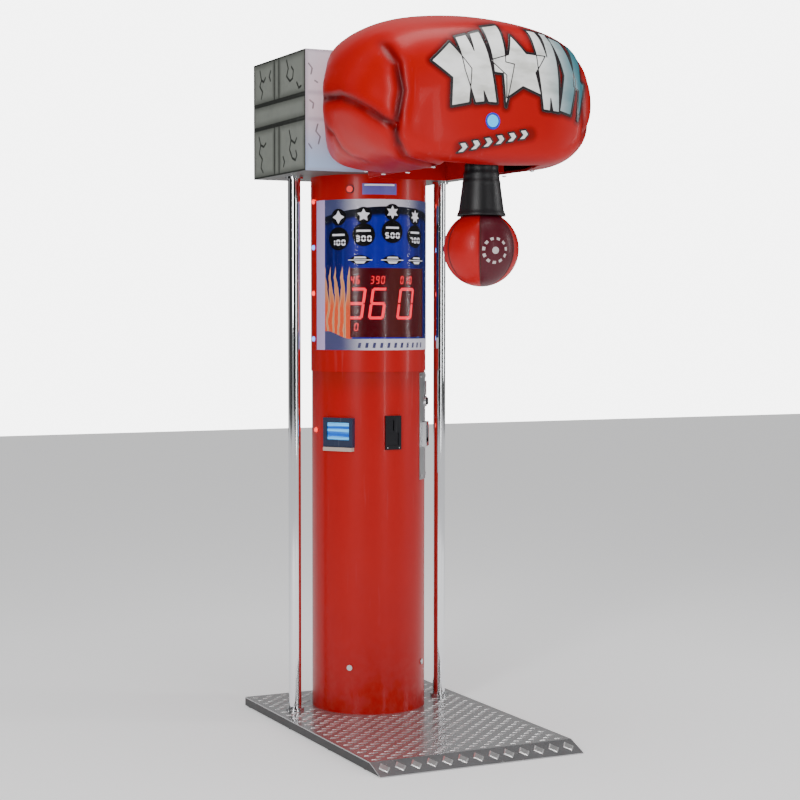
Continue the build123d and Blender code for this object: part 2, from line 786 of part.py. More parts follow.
def make_well_liner():
    """Open-bottomed steel box that the bag parks in, hung between the booms."""
    w, t = well_half_width, liner_wall
    bottom = glove_floor + glove_wall + 2
    liner = block(-w - t, w + t, -well_front, -well_back + t, bottom, well_top + t)
    liner -= block(-w, w, -well_front - 1, -well_back, bottom - 1, well_top)
    for side in (-1, 1):
        for ahead in (well_front - 30, well_back + 30):
            x0, x1 = side * (w + t), side * boom_inner
            liner += block(x0, x1, -ahead - 15, -ahead + 15, pivot_z - 18, pivot_z + 18)
    save("well_liner", liner)


# ---------------------------------------------------------------- punch arm
def make_arm():
    """Shaft, hub with its stop arm, and the tube that ends in the bag's clamp disc."""
    save("pivot_shaft", along_x(shaft_radius, -boom_inner + 3, boom_inner - 3, pivot_y, pivot_z))
    half = stop_arm_thickness / 2
    width = stop_arm_width / 2
    hub = along_x(hub_radius, -hub_half_length, hub_half_length, pivot_y, pivot_z)
    hub += block(-width, width, pivot_y - half, pivot_y + half, pivot_z, pivot_z + stop_arm_reach)
    disc_top = bag_flat_z + clamp_disc_thickness
    arm = hub + upright(arm_radius, disc_top, pivot_z, 0, pivot_y)
    arm += upright(clamp_disc_radius, bag_flat_z, disc_top, 0, pivot_y)
    save("punch_arm", arm - along_x(shaft_radius, -200, 200, pivot_y, pivot_z))

    blocks = []
    for side in (-1, 1):
        x0, x1 = side * (boom_inner - bearing_width), side * boom_inner
        half = bearing_depth / 2
        piece = block(x0, x1, pivot_y - half, pivot_y + half, boom_low, boom_high)
        blocks.append(piece - along_x(shaft_radius + shaft_clearance, -200, 200, pivot_y, pivot_z))
    save("bearing_blocks", *blocks)


def make_bag():
    """The ball, flat on top under its clamp disc, and the rubber sleeve round the arm."""
    bag = Pos(0, pivot_y, bag_z) * Sphere(bag_radius)
    save("punch_bag", bag & upright(200, bag_z - 200, bag_flat_z, 0, pivot_y))
    top = pivot_z - sleeve_top_drop
    mouth = sleeve_bottom_radius - sleeve_wall
    low = bag_z + sqrt(bag_radius**2 - mouth**2) + contact_gap
    points = [
        (arm_radius + contact_gap, top),
        (sleeve_top_radius, top),
        (sleeve_bottom_radius, low),
        (mouth, low),
        (sleeve_top_radius - sleeve_wall, top - sleeve_wall),
        (arm_radius + contact_gap, top - sleeve_wall),
    ]
    profile = Plane.XZ * make_face(Polyline(*points, close=True))
    save("bag_sleeve", Pos(0, pivot_y, 0) * revolve(profile, axis=Axis.Z))


def shaft_disc(x, radius, thickness):
    """A disc pressed on the pivot shaft."""
    half = thickness / 2
    disc = along_x(radius, x - half, x + half, pivot_y, pivot_z)
    return disc - along_x(shaft_radius, x - half - 1, x + half + 1, pivot_y, pivot_z)


def make_shaft_discs():
    """On the shaft: the slotted disc of the speed sensor and the notched cam of the latch."""
    disc = shaft_disc(disc_x, disc_radius, disc_thickness)
    for i in range(slot_count):
        spoke = Rot(360 / slot_count * i, 0, 0) * Pos(0, 0, disc_radius - 6) * Box(20, 4, 6)
        disc -= Pos(disc_x, pivot_y, pivot_z) * spoke
    notch = Pos(cam_x, pivot_y, pivot_z) * Rot(-118, 0, 0) * Pos(0, 0, cam_radius) * Box(20, 12, 12)
    save("shaft_discs", disc, shaft_disc(cam_x, cam_radius, cam_thickness) - notch)


def make_sensor():
    """The optical eye over the slotted disc's rim."""
    eye = block(disc_x - 11, disc_x + 11, -bar_ahead - 22, -bar_ahead, pivot_z + 10, bar_top - 26)
    eye -= block(disc_x - 4, disc_x + 4, -bar_ahead - 30, -bar_ahead + 1, pivot_z, pivot_z + disc_radius + 5)
    save("speed_sensor", eye)


# ---------------------------------------------------------------- latch
def make_latch():
    """The pawl that holds the cam, its bracket, and the solenoid that works it."""
    py, pz = -pawl_pivot_ahead, pawl_pivot_z
    near, far = cam_x - pawl_thickness / 2, cam_x + pawl_thickness / 2
    tip = cam_radius + pawl_gap
    tip_y, tip_z = pivot_y + tip * cos(radians(20)), pivot_z + tip * sin(radians(20))
    points = [
        (tip_y, tip_z),
        (tip_y + 5, tip_z - 5),
        (py + 2, pz - 9),
        (py + 34, pz - 5),
        (py + 34, pz + 5),
        (py - 6, pz + 8),
    ]
    bore = along_x(pawl_pin_radius + pin_clearance, near - 10, far + 10, py, pz)
    save("latch_pawl", side_plate(points, near, far) - bore)

    back = -bar_ahead + bar_thickness
    bracket = block(far + 2, far + 6, back, py + 14, pz - 12, solenoid_bottom - 4)
    bracket += along_x(pawl_pin_radius, near - 4, far + 6, py, pz) + along_x(7, near - 4, near - 0.5, py, pz)
    save("pawl_bracket", bracket)

    plunger_y = py + pawl_contact_reach + plunger_radius
    arm_top = pz + 8 - 3 * (pawl_contact_reach + 6) / 40
    plunger = upright(plunger_radius, arm_top + contact_gap, solenoid_bottom + 30, cam_x, plunger_y)
    save("latch_plunger", plunger)
    coil = block(cam_x - 18, cam_x + 18, plunger_y - 20, plunger_y + 20, solenoid_bottom, bar_top)
    coil += block(cam_x - 18, cam_x + 18, -bar_ahead, plunger_y + 20, bar_top, bar_top + 3)
    coil -= upright(plunger_radius + shaft_clearance, solenoid_bottom - 1, bar_top - 6, cam_x, plunger_y)
    save("latch_solenoid", coil)


# ---------------------------------------------------------------- start button
def make_start_button():
    """The push button on the front of the glove: one housing with its bezel, and the cap."""
    front = -glove_front
    bottom = front + 7 + start_travel
    bore = along_y(start_cap_radius + button_clearance, front - 20, bottom, start_x, start_z)
    housing = along_y(start_bezel_radius, front - 6, front, start_x, start_z)
    housing += along_y(start_barrel_radius, front, front + 24, start_x, start_z)
    save("start_housing", housing - bore)
    cap = along_y(start_cap_radius, front - 10, front + 6, start_x, start_z)
    save("start_cap", fillet(cap.edges().filter_by(GeomType.CIRCLE).group_by(Axis.Y)[0], 3))


def main():
    make_platform()
    make_column_rings()
    make_lower_shell()
    make_upper_shell()
    make_lamps()
    make_posts()
    make_window()
    make_score_unit()
    make_select_button()
    make_bill_acceptor()
    make_coin_acceptor()
    make_mech_plate()
    make_screws()
    make_return_cup()
    make_power()
    make_service_door()
    make_cash_box()
    make_wall_box()
    make_booms()
    make_cross_bars()
    make_glove()
    make_well_liner()
    make_arm()
    make_bag()
    make_shaft_discs()
    make_sensor()
    make_latch()
    make_start_button()


main()
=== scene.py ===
"""Boxing punch machine: a floor-standing strength tester with a hanging ball under a big glove."""

# %% [markdown]
# The frame
# The exact model gives every part its place, and everything made below hangs on it.

# %% Load the frame
import math
import bpy
import numpy as np
from mathutils import Matrix, Vector


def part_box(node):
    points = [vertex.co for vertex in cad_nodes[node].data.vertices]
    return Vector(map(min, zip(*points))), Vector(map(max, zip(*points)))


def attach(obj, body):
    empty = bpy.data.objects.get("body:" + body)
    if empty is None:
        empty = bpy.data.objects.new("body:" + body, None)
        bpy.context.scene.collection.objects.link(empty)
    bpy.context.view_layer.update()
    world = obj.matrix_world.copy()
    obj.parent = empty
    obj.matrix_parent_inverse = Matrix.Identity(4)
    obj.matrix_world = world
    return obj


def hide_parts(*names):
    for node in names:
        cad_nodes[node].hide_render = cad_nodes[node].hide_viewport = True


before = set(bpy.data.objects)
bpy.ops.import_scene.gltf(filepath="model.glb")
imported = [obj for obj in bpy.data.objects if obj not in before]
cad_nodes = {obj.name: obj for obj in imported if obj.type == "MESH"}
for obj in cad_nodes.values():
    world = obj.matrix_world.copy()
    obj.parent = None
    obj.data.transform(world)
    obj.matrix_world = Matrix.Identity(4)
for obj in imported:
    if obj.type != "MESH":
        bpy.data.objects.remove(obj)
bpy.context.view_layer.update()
mm = 0.001
print("frame:", len(cad_nodes), "parts")

# %% [markdown]
# The camera
# A long lens from the left front, a little above the middle of the column, keeps uprights
# nearly parallel. It looks down by some three degrees, and a small shift of the lens places
# the machine in the frame.

# %% Camera
camera_data = bpy.data.cameras.new("camera")
camera_data.lens = 80.46
camera_data.sensor_width = 36.0
camera_data.shift_x = 0.0375
camera_data.shift_y = 0.0111
camera = bpy.data.objects.new("camera", camera_data)
bpy.context.scene.collection.objects.link(camera)
camera_right = Vector((0.90445, -0.42658, 0.0))
camera_up = Vector((0.02151, 0.04566, 0.99873))
camera_back = Vector((-0.42604, -0.90330, 0.05047))
camera_place = Vector((-2.4451, -5.1973, 1.2734))
camera_turn = Matrix((camera_right, camera_up, camera_back)).transposed().to_4x4()
camera.matrix_world = Matrix.Translation(camera_place) @ camera_turn
bpy.context.scene.camera = camera
print("camera: 80 mm lens")

# %% [markdown]
# Helpers for surfaces
# A surface is a grid of points, rows by columns, joined into four-sided faces. A closed solid is
# a grid whose columns meet and whose first and last rows shrink to a point or a flat cap.
# Painted shapes are stored as the signed distance to their outline, negative inside, so
# that a material can cut a sharp edge between coarse points.

# %% Surface helpers
def add_object(name, points, faces, smooth=True):
    """One object from points in metres and lists of corner numbers."""
    mesh = bpy.data.meshes.new(name)
    mesh.from_pydata(np.asarray(points, float).reshape(-1, 3).tolist(), [], faces)
    mesh.polygons.foreach_set("use_smooth", np.full(len(mesh.polygons), smooth))
    mesh.update()
    piece = bpy.data.objects.new(name, mesh)
    bpy.context.scene.collection.objects.link(piece)
    return piece


def grid_faces(rows, columns, close_rows=False, close_columns=False, first=0):
    """Corner numbers of the faces between neighbouring rows and columns."""
    row = np.arange(rows if close_rows else rows - 1)
    column = np.arange(columns if close_columns else columns - 1)
    row, column = np.meshgrid(row, column, indexing="ij")
    next_row = (row + 1) % rows
    next_column = (column + 1) % columns
    corners = (
        row * columns + column,
        row * columns + next_column,
        next_row * columns + next_column,
        next_row * columns + column,
    )
    return np.stack(corners, -1).reshape(-1, 4) + first


def set_attribute(piece, name, values):
    """Stores one number for each point of the piece."""
    layer = piece.data.attributes.new(name, "FLOAT", "POINT")
    layer.data.foreach_set("value", np.asarray(values, np.float32).ravel())


def points_of(piece):
    """The piece's points as an array in metres."""
    flat = np.zeros(len(piece.data.vertices) * 3)
    piece.data.vertices.foreach_get("co", flat)
    return flat.reshape(-1, 3)


def bake_modifiers(piece):
    """Replaces the piece's mesh by what its modifiers make."""
    graph = bpy.context.evaluated_depsgraph_get()
    made = bpy.data.meshes.new_from_object(piece.evaluated_get(graph))
    piece.modifiers.clear()
    piece.data = made


def revolve(name, profile, centre, columns=96):
    """Turned solid. The profile is a list of (radius, height) in mm, going round the wall so that
    the first and last points join, and each is swept through a full turn about an upright axis."""
    profile = np.array(profile, float) * mm
    angle = np.linspace(0, 2 * np.pi, columns, endpoint=False)
    x = centre[0] * mm + profile[:, :1] * np.cos(angle)
    y = centre[1] * mm + profile[:, :1] * np.sin(angle)
    z = centre[2] * mm + np.repeat(profile[:, 1:], columns, 1)
    points = np.stack((x, y, z), -1)
    faces = grid_faces(len(profile), columns, True, True)
    return add_object(name, points, faces.tolist())


def line_distance(points, line):
    """Distance from each point to a line of straight pieces, in the line's own units."""
    line = np.asarray(line, float)
    start, step = line[:-1], line[1:] - line[:-1]
    away = points[:, None, :] - start[None]
    share = (away * step).sum(-1) / np.maximum((step * step).sum(-1), 1e-9)
    nearest = away - np.clip(share, 0, 1)[..., None] * step
    return np.sqrt((nearest * nearest).sum(-1)).min(1)


def polygon_distance(points, polygon):
    """Signed distance to a closed polygon, negative inside. The sign comes from counting how many
    edges a ray toward +x crosses."""
    polygon = np.asarray(polygon, float)
    edge_end = np.roll(polygon, -1, 0)
    distance = line_distance(points, np.vstack((polygon, polygon[:1])))
    x, y = points[:, :1], points[:, 1:2]
    above = (polygon[:, 1] > y) != (edge_end[:, 1] > y)
    rise = edge_end[:, 1] - polygon[:, 1]
    rise = np.where(np.abs(rise) < 1e-9, 1e-9, rise)
    cross_x = polygon[:, 0] + (y - polygon[:, 1]) / rise * (edge_end[:, 0] - polygon[:, 0])
    inside = (above & (x < cross_x)).sum(1) % 2 == 1
    return np.where(inside, -distance, distance)


def union_distance(points, polygons):
    """Signed distance to several polygons taken together."""
    nearest = np.full(len(points), 1e3)
    for polygon in polygons:
        nearest = np.minimum(nearest, polygon_distance(points, polygon))
    return nearest


def bend(across, height, radius, angle):
    """Puts flat drawings, in mm across and up, round the column at an angle from its front."""
    turned = np.radians(angle) + across / radius
    return np.stack((radius * np.sin(turned), -radius * np.cos(turned), height), -1) * mm


def bent_tiles(name, corners, angle, low_radius, high_radius, cells=6):
    """Thin closed tiles bent round the column. Each tile has four corners in mm (across, up), and is
    divided into a few strips so that it follows the curve."""
    corners = np.asarray(corners, float)
    share = np.linspace(0, 1, cells + 1)[:, None]
    lower = corners[:, None, 0] * (1 - share) + corners[:, None, 1] * share
    upper = corners[:, None, 3] * (1 - share) + corners[:, None, 2] * share
    flat = np.stack((lower, upper), 2)
    outer = bend(flat[..., 0], flat[..., 1], high_radius, angle)
    inner = bend(flat[..., 0], flat[..., 1], low_radius, angle)
    ring = np.stack((outer[:, :, 0], outer[:, :, 1], inner[:, :, 1], inner[:, :, 0]), 2)
    count = cells + 1
    one = grid_faces(count, 4, False, True)[:, ::-1].tolist()
    one += [[0, 1, 2, 3], [4 * cells + 3, 4 * cells + 2, 4 * cells + 1, 4 * cells]]
    one = np.array(one)
    starts = np.arange(len(corners)) * count * 4
    faces = (one[None] + starts[:, None, None]).reshape(-1, 4)
    return add_object(name, ring, faces.tolist(), smooth=False)


def bent_discs(name, centres, angles, half_width, half_height, low_radius, high_radius, power=2.0):
    """Thin closed discs bent round the column. The outline is |x/a|^p + |y/b|^p = 1, drawn by angle, so
    a power of 2 gives an ellipse and a higher one squarer sides."""
    corners = 36
    turn_angle = np.linspace(0, 2 * np.pi, corners, endpoint=False)
    edge_x = np.sign(np.cos(turn_angle)) * np.abs(np.cos(turn_angle)) ** (2 / power)
    edge_z = np.sign(np.sin(turn_angle)) * np.abs(np.sin(turn_angle)) ** (2 / power)
    rings = np.array([0.02, 0.35, 0.7, 1.0, 1.0, 0.02])
    radii = np.array([high_radius] * 4 + [low_radius] * 2, float)
    points, faces = [], []
    for height, angle in zip(centres, angles):
        across = rings[:, None] * edge_x * half_width
        up = height + rings[:, None] * edge_z * half_height
        points.append(bend(across, up, radii[:, None], angle))
        first = (len(points) - 1) * corners * len(rings)
        last = first + corners * (len(rings) - 1)
        faces += grid_faces(len(rings), corners, False, True, first)[:, ::-1].tolist()
        faces.append(list(range(first, first + corners)))
        faces.append(list(range(last, last + corners))[::-1])
    return add_object(name, np.array(points), faces, smooth=False)


def count_faces(pieces):
    """How many faces a group of pieces has together."""
    return sum(len(piece.data.polygons) for piece in pieces)


print("helpers ready")

# %% [markdown]
# Shared effects
# Paint, metal and plastic on a machine that stands in a public hall all show the same few
# things: a slight mottle, fine scratches and dust that settles low down. Each is a
# small node group with named sockets, so every material uses the same one at its own strength.

# %% Node groups
def new_group(name, inputs, outputs):
    """Empty node group with float inputs and outputs and its two end nodes."""
    group = bpy.data.node_groups.new(name, "ShaderNodeTree")
    for label, value in inputs.items():
        socket = group.interface.new_socket(label, in_out="INPUT", socket_type="NodeSocketFloat")
        socket.default_value = value
    for label in outputs:
        group.interface.new_socket(label, in_out="OUTPUT", socket_type="NodeSocketFloat")
    start = group.nodes.new("NodeGroupInput")
    end = group.nodes.new("NodeGroupOutput")
    return group, start, end


def math_node(tree, operation, first, second=0.0, third=0.0):
    """One arithmetic node. Each input is a number or another node's output."""
    node = tree.nodes.new("ShaderNodeMath")
    node.operation = operation
    for slot, value in enumerate((first, second, third)):
        if isinstance(value, (int, float)):
            node.inputs[slot].default_value = value
        else:
            tree.links.new(value, node.inputs[slot])
    return node.outputs[0]


def times(tree, first, second):
    """The product of two values."""
    return math_node(tree, "MULTIPLY", first, second)


def range_node(tree, value, low, high, to_low=0.0, to_high=1.0):
    """Maps a value smoothly from one range to another and stops at both ends."""
    node = tree.nodes.new("ShaderNodeMapRange")
    node.interpolation_type = "SMOOTHSTEP"
    tree.links.new(value, node.inputs["Value"])
    node.inputs["From Min"].default_value = low
    node.inputs["From Max"].default_value = high
    node.inputs["To Min"].default_value = to_low
    node.inputs["To Max"].default_value = to_high
    return node.outputs["Result"]


def noise_node(tree, scale, detail=3.0, stretch=(1, 1, 1)):
    """Noise in the object's own place, stretched along an axis when asked."""
    place = tree.nodes.new("ShaderNodeTexCoord")
    mapping = tree.nodes.new("ShaderNodeMapping")
    mapping.inputs["Scale"].default_value = stretch
    noise = tree.nodes.new("ShaderNodeTexNoise")
    noise.inputs["Scale"].default_value = scale
    noise.inputs["Detail"].default_value = detail
    tree.links.new(place.outputs["Object"], mapping.inputs["Vector"])
    tree.links.new(mapping.outputs["Vector"], noise.inputs["Vector"])
    return noise.outputs["Fac"]


mottle_group, mottle_in, mottle_out = new_group("mottle", {"Strength": 0.3}, ["Value"])
mottle_noise = noise_node(mottle_group, 14.0, 5.0)
mottle_middle = math_node(mottle_group, "SUBTRACT", mottle_noise, 0.5)
mottle_value = math_node(mottle_group, "MULTIPLY", mottle_middle, mottle_in.outputs["Strength"])
mottle_group.links.new(mottle_value, mottle_out.inputs["Value"])

scratch_group, scratch_in, scratch_out = new_group("scratches", {"Strength": 0.3}, ["Value"])
scratch_noise = noise_node(scratch_group, 60.0, 6.0, (1.0, 1.0, 0.06))
scratch_lines = range_node(scratch_group, scratch_noise, 0.62, 0.72)
scratch_patch = range_node(scratch_group, noise_node(scratch_group, 5.0, 2.0), 0.45, 0.6)
scratch_both = math_node(scratch_group, "MULTIPLY", scratch_lines, scratch_patch)
scratch_value = math_node(scratch_group, "MULTIPLY", scratch_both, scratch_in.outputs["Strength"])
scratch_group.links.new(scratch_value, scratch_out.inputs["Value"])

dust_group, dust_in, dust_out = new_group("dust", {"Strength": 0.3, "Height": 0.25}, ["Value"])
dust_place = dust_group.nodes.new("ShaderNodeTexCoord")
dust_axes = dust_group.nodes.new("ShaderNodeSeparateXYZ")
dust_group.links.new(dust_place.outputs["Object"], dust_axes.inputs[0])
dust_share = math_node(dust_group, "DIVIDE", dust_axes.outputs["Z"], dust_in.outputs["Height"])
dust_low = range_node(dust_group, dust_share, 0.0, 1.0, 1.0, 0.0)
dust_grain = range_node(dust_group, noise_node(dust_group, 35.0, 6.0), 0.35, 0.7)
dust_both = math_node(dust_group, "MULTIPLY", dust_low, dust_grain)
dust_value = math_node(dust_group, "MULTIPLY", dust_both, dust_in.outputs["Strength"])
dust_group.links.new(dust_value, dust_out.inputs["Value"])
print("node groups:", len(bpy.data.node_groups))

# %% [markdown]
# Materials
# One recipe makes nearly every surface: a base colour mottled a little, scratches that lift the
# colour and roughen the shine, dust near the floor, and a fine bump. Special surfaces such as
# the printed sheet take the recipe's output and paint more layers over its colour.

# %% Material recipe
def use_group(tree, group, **values):
    """Places a shared group in a material with its named values set."""
    node = tree.nodes.new("ShaderNodeGroup")
    node.node_tree = group
    for label, value in values.items():
        node.inputs[label].default_value = value
    return node.outputs["Value"]


def mix_colour(tree, share, first, second):
    """Blends two colours. Each is a tuple or another node's output."""
    node = tree.nodes.new("ShaderNodeMix")
    node.data_type = "RGBA"
    if isinstance(share, (int, float)):
        node.inputs["Factor"].default_value = share
    else:
        tree.links.new(share, node.inputs["Factor"])
    for label, colour in (("A", first), ("B", second)):
        socket = [s for s in node.inputs if s.name == label and s.type == "RGBA"][0]
        if isinstance(colour, tuple):
            socket.default_value = (*colour[:3], 1.0)
        else:
            tree.links.new(colour, socket)
    return [s for s in node.outputs if s.type == "RGBA"][0]


def attribute_value(tree, name):
    """Reads a number stored on the piece's points."""
    node = tree.nodes.new("ShaderNodeAttribute")
    node.attribute_name = name
    return node.outputs["Fac"]


def object_axes(tree):
    """The point's place in metres, as separate x, y and z outputs."""
    place = tree.nodes.new("ShaderNodeTexCoord")
    axes = tree.nodes.new("ShaderNodeSeparateXYZ")
    tree.links.new(place.outputs["Object"], axes.inputs[0])
    return axes.outputs


def make_material(name, colour, metallic=0.0, roughness=0.4, mottle=0.3, scratch=0.15, dust=0.0,
                  coat=0.0, shine=0.5, glow=0.0, bump=0.0, bump_scale=200.0, alpha=1.0, layers=None):
    """Principled material from the shared recipe. Layers is a function that paints over the colour."""
    material = bpy.data.materials.new(name)
    material.use_nodes = True
    tree = material.node_tree
    shader = tree.nodes["Principled BSDF"]
    base = mix_colour(tree, 0.0, colour, colour)
    shade = use_group(tree, mottle_group, Strength=mottle)
    lighter = tree.nodes.new("ShaderNodeHueSaturation")
    tree.links.new(base, lighter.inputs["Color"])
    tree.links.new(math_node(tree, "ADD", shade, 1.0), lighter.inputs["Value"])
    painted = lighter.outputs["Color"]
    if layers is not None:
        painted = layers(tree, painted)
    marks = use_group(tree, scratch_group, Strength=scratch)
    painted = mix_colour(tree, marks, painted, (0.55, 0.55, 0.55))
    if dust > 0:
        settled = use_group(tree, dust_group, Strength=dust, Height=0.35)
        painted = mix_colour(tree, settled, painted, (0.42, 0.40, 0.37))
    tree.links.new(painted, shader.inputs["Base Color"])
    rough = math_node(tree, "ADD", times(tree, shade, 0.35), roughness)
    rough = math_node(tree, "ADD", rough, times(tree, marks, 0.5))
    tree.links.new(rough, shader.inputs["Roughness"])
    shader.inputs["Metallic"].default_value = metallic
    shader.inputs["Coat Weight"].default_value = coat
    shader.inputs["Coat Roughness"].default_value = 0.06
    shader.inputs["Specular IOR Level"].default_value = shine
    shader.inputs["Alpha"].default_value = alpha
    if glow > 0:
        shader.inputs["Emission Strength"].default_value = glow
        tree.links.new(painted, shader.inputs["Emission Color"])
    if bump > 0:
        grain = noise_node(tree, bump_scale)
        bumps = tree.nodes.new("ShaderNodeBump")
        bumps.inputs["Strength"].default_value = bump
        bumps.inputs["Distance"].default_value = 0.001
        tree.links.new(grain, bumps.inputs["Height"])
        tree.links.new(bumps.outputs["Normal"], shader.inputs["Normal"])
    return material


def wear(piece, material):
    """Gives a piece one material in place of any it had."""
    piece.data.materials.clear()
    piece.data.materials.append(material)


print("material recipe ready")

# %% [markdown]
# The printed display sheet
# The sheet behind the window carries a silver band at the top, navy under it, a blue field, a
# pale strip at the foot and orange flames licking in from its left edge. All of it follows
# from the height and the angle round the column. An image could carry the print, but bands and
# flames worked out from the place stay sharp from any distance and bend with the sheet.

# %% Display print
def column_angle(tree, x, y):
    """The angle round the column from its front, in radians, growing toward +X."""
    return math_node(tree, "ARCTAN2", x, times(tree, y, -1.0))


def paint_display(tree, base):
    """Bands by height, bent by angle so that the top ones droop toward the sides. Each flame tongue is
    the part of a wavy ripple round the column that stays over a limit rising with height."""
    x, y, z = object_axes(tree)
    angle = column_angle(tree, x, y)
    sideways = math_node(tree, "ABSOLUTE", math_node(tree, "ADD", angle, 0.2))
    height = math_node(tree, "ADD", z, times(tree, times(tree, angle, angle), 0.02))
    edge_share = range_node(tree, sideways, 0.15, 0.95)
    colour = mix_colour(tree, edge_share, (0.010, 0.012, 0.36), (0.001, 0.003, 0.10))
    rays = math_node(tree, "SINE", times(tree, angle, 34.0))
    colour = mix_colour(tree, range_node(tree, rays, 0.5, 1.0, 0.0, 0.18), colour, (0.03, 0.06, 0.6))
    colour = mix_colour(tree, range_node(tree, height, 1.588, 1.602), colour, (0.002, 0.004, 0.015))
    dim_share = range_node(tree, sideways, 0.15, 0.85)
    silver = mix_colour(tree, dim_share, (0.80, 0.80, 0.90), (0.07, 0.08, 0.20))
    colour = mix_colour(tree, range_node(tree, height, 1.6205, 1.6225), colour, silver)

    swayed = math_node(tree, "ADD", angle, times(tree, noise_node(tree, 14.0), 0.16))
    ripple = math_node(tree, "SINE", times(tree, swayed, 52.0))
    limit = range_node(tree, z, 1.315, 1.455, -1.05, 1.08)
    over = math_node(tree, "SUBTRACT", ripple, limit)
    near_edge = range_node(tree, angle, -0.76, -0.70, 1.0, 0.0)
    flame = times(tree, range_node(tree, over, 0.0, 0.12), near_edge)
    core = range_node(tree, over, 0.25, 0.9)
    heat = mix_colour(tree, range_node(tree, z, 1.30, 1.36), (0.90, 0.10, 0.03), (0.75, 0.28, 0.12))
    colour = mix_colour(tree, flame, colour, mix_colour(tree, core, (0.85, 0.42, 0.20), heat))

    raised = range_node(tree, angle, -1.2, -0.74, 0.024, 0.0)
    foot_height = math_node(tree, "SUBTRACT", z, raised)
    foot = range_node(tree, foot_height, 1.209, 1.211, 1.0, 0.0)
    foot_share = range_node(tree, angle, -0.95, -0.35)
    foot_colour = mix_colour(tree, foot_share, (0.08, 0.08, 0.20), (0.72, 0.70, 0.80))
    colour = mix_colour(tree, foot, colour, foot_colour)
    edge = range_node(tree, angle, -1.27, -1.265, 1.0, 0.0)
    return mix_colour(tree, edge, colour, (0.62, 0.48, 0.80))


print("display print ready")

# %% [markdown]
# The red filter and the ball's cover
# Digits shine through a dark red sheet, with faint upright stripes from the case behind it. The
# ball's cover is dyed vinyl with one dark gore, and a ring of ticks printed on that gore. The
# ring is drawn from the distance to its middle, so that it needs no map laid over the ball.

# %% Filter and ball colours
def paint_filter(tree, base):
    """Slightly lighter upright stripes: noise drawn out along the height."""
    stripe = noise_node(tree, 9.0, 2.0, (1, 1, 0.02))
    share = range_node(tree, stripe, 0.42, 0.62, 0.0, 0.5)
    return mix_colour(tree, share, base, (0.10, 0.022, 0.016))


def paint_ball(tree, base):
    """One dark gore in front, a pale ring of ticks with a dot in the middle, and darker seams."""
    x, y, z = object_axes(tree)
    dark = attribute_value(tree, "dark_gore")
    colour = mix_colour(tree, dark, base, (0.085, 0.004, 0.012))
    up = math_node(tree, "SUBTRACT", z, 1.462)
    side = math_node(tree, "ADD", x, 0.012)
    squared = math_node(tree, "ADD", times(tree, up, up), times(tree, side, side))
    away = math_node(tree, "SQRT", squared)
    ring = math_node(tree, "ABSOLUTE", math_node(tree, "SUBTRACT", away, 0.033))
    ring = range_node(tree, ring, 0.0032, 0.0042, 1.0, 0.0)
    ticks = math_node(tree, "SINE", times(tree, math_node(tree, "ARCTAN2", up, side), 11.0))
    ring = times(tree, ring, range_node(tree, ticks, -0.2, 0.1))
    dot = range_node(tree, away, 0.009, 0.0105, 1.0, 0.0)
    front = range_node(tree, y, -0.80, -0.79, 1.0, 0.0)
    mark = times(tree, math_node(tree, "MAXIMUM", ring, dot), front)
    colour = mix_colour(tree, times(tree, mark, 0.75), colour, (0.78, 0.72, 0.70))
    return mix_colour(tree, attribute_value(tree, "seam"), colour, (0.10, 0.004, 0.006))


print("filter and ball colours ready")

# %% [markdown]
# Glove, stone and fitting colours
# The glove's red takes painted shade in its creases and on its underside. The stone blocks on the wall
# box are airbrushed: pale fields, a soft dark edge at each joint, and thin drawn cracks. All of
# these read distances stored on the pieces, so one drawn line gives both its edge and its haze.

# %% Glove and stone paint
def paint_glove(tree, base):
    """Painted shade in the creases and toward the underside, and the darker airbrush spray round the
    graphics.
    """
    z = object_axes(tree)[2]
    # Painted shade along the creases.
    colour = mix_colour(tree, attribute_value(tree, "crease"), base, (0.06, 0.0, 0.002))
    colour = mix_colour(tree, attribute_value(tree, "sprayed"), colour, (0.03, 0.0, 0.001))
    # Painted shade toward the underside, which faces away from the lights.
    low = range_node(tree, z, 1.685, 1.74, 0.75, 0.0)
    return mix_colour(tree, low, colour, (0.17, 0.004, 0.008))


def paint_stone(tree, base):
    """Blocks between joints, with soft shading beside each joint, and black cracks on top."""
    joint = attribute_value(tree, "joint")
    crack = attribute_value(tree, "crack")
    grain = noise_node(tree, 26.0, 6.0)
    colour = mix_colour(tree, range_node(tree, grain, 0.4, 0.7, 0.0, 0.30), base, (0.19, 0.20, 0.19))
    shade = range_node(tree, joint, 0.0, 26.0, 0.62, 0.0)
    colour = mix_colour(tree, shade, colour, (0.055, 0.06, 0.05))
    line = range_node(tree, joint, 2.0, 4.5, 0.9, 0.0)
    colour = mix_colour(tree, line, colour, (0.012, 0.014, 0.012))
    drawn = range_node(tree, crack, 2.0, 5.0, 0.95, 0.0)
    return mix_colour(tree, drawn, colour, (0.012, 0.014, 0.012))


def paint_front_stone(tree, base):
    """The same blocks in white and lilac, turning pale blue toward the foot."""
    z = object_axes(tree)[2]
    colour = mix_colour(tree, range_node(tree, z, 1.90, 1.74), base, (0.42, 0.62, 0.88))
    joint = attribute_value(tree, "joint")
    crack = attribute_value(tree, "crack")
    colour = mix_colour(tree, range_node(tree, joint, 0.0, 12.0, 0.35, 0.0), colour, (0.32, 0.32, 0.42))
    drawn = range_node(tree, crack, 1.2, 3.4, 0.8, 0.0)
    return mix_colour(tree, drawn, colour, (0.05, 0.05, 0.07))


def paint_bill_mouth(tree, base):
    """Blue light behind a smoked mouth, in level streaks."""
    streak = noise_node(tree, 30.0, 2.0, (0.15, 0.15, 4.0))
    return mix_colour(tree, range_node(tree, streak, 0.35, 0.65), base, (0.10, 0.50, 0.95))


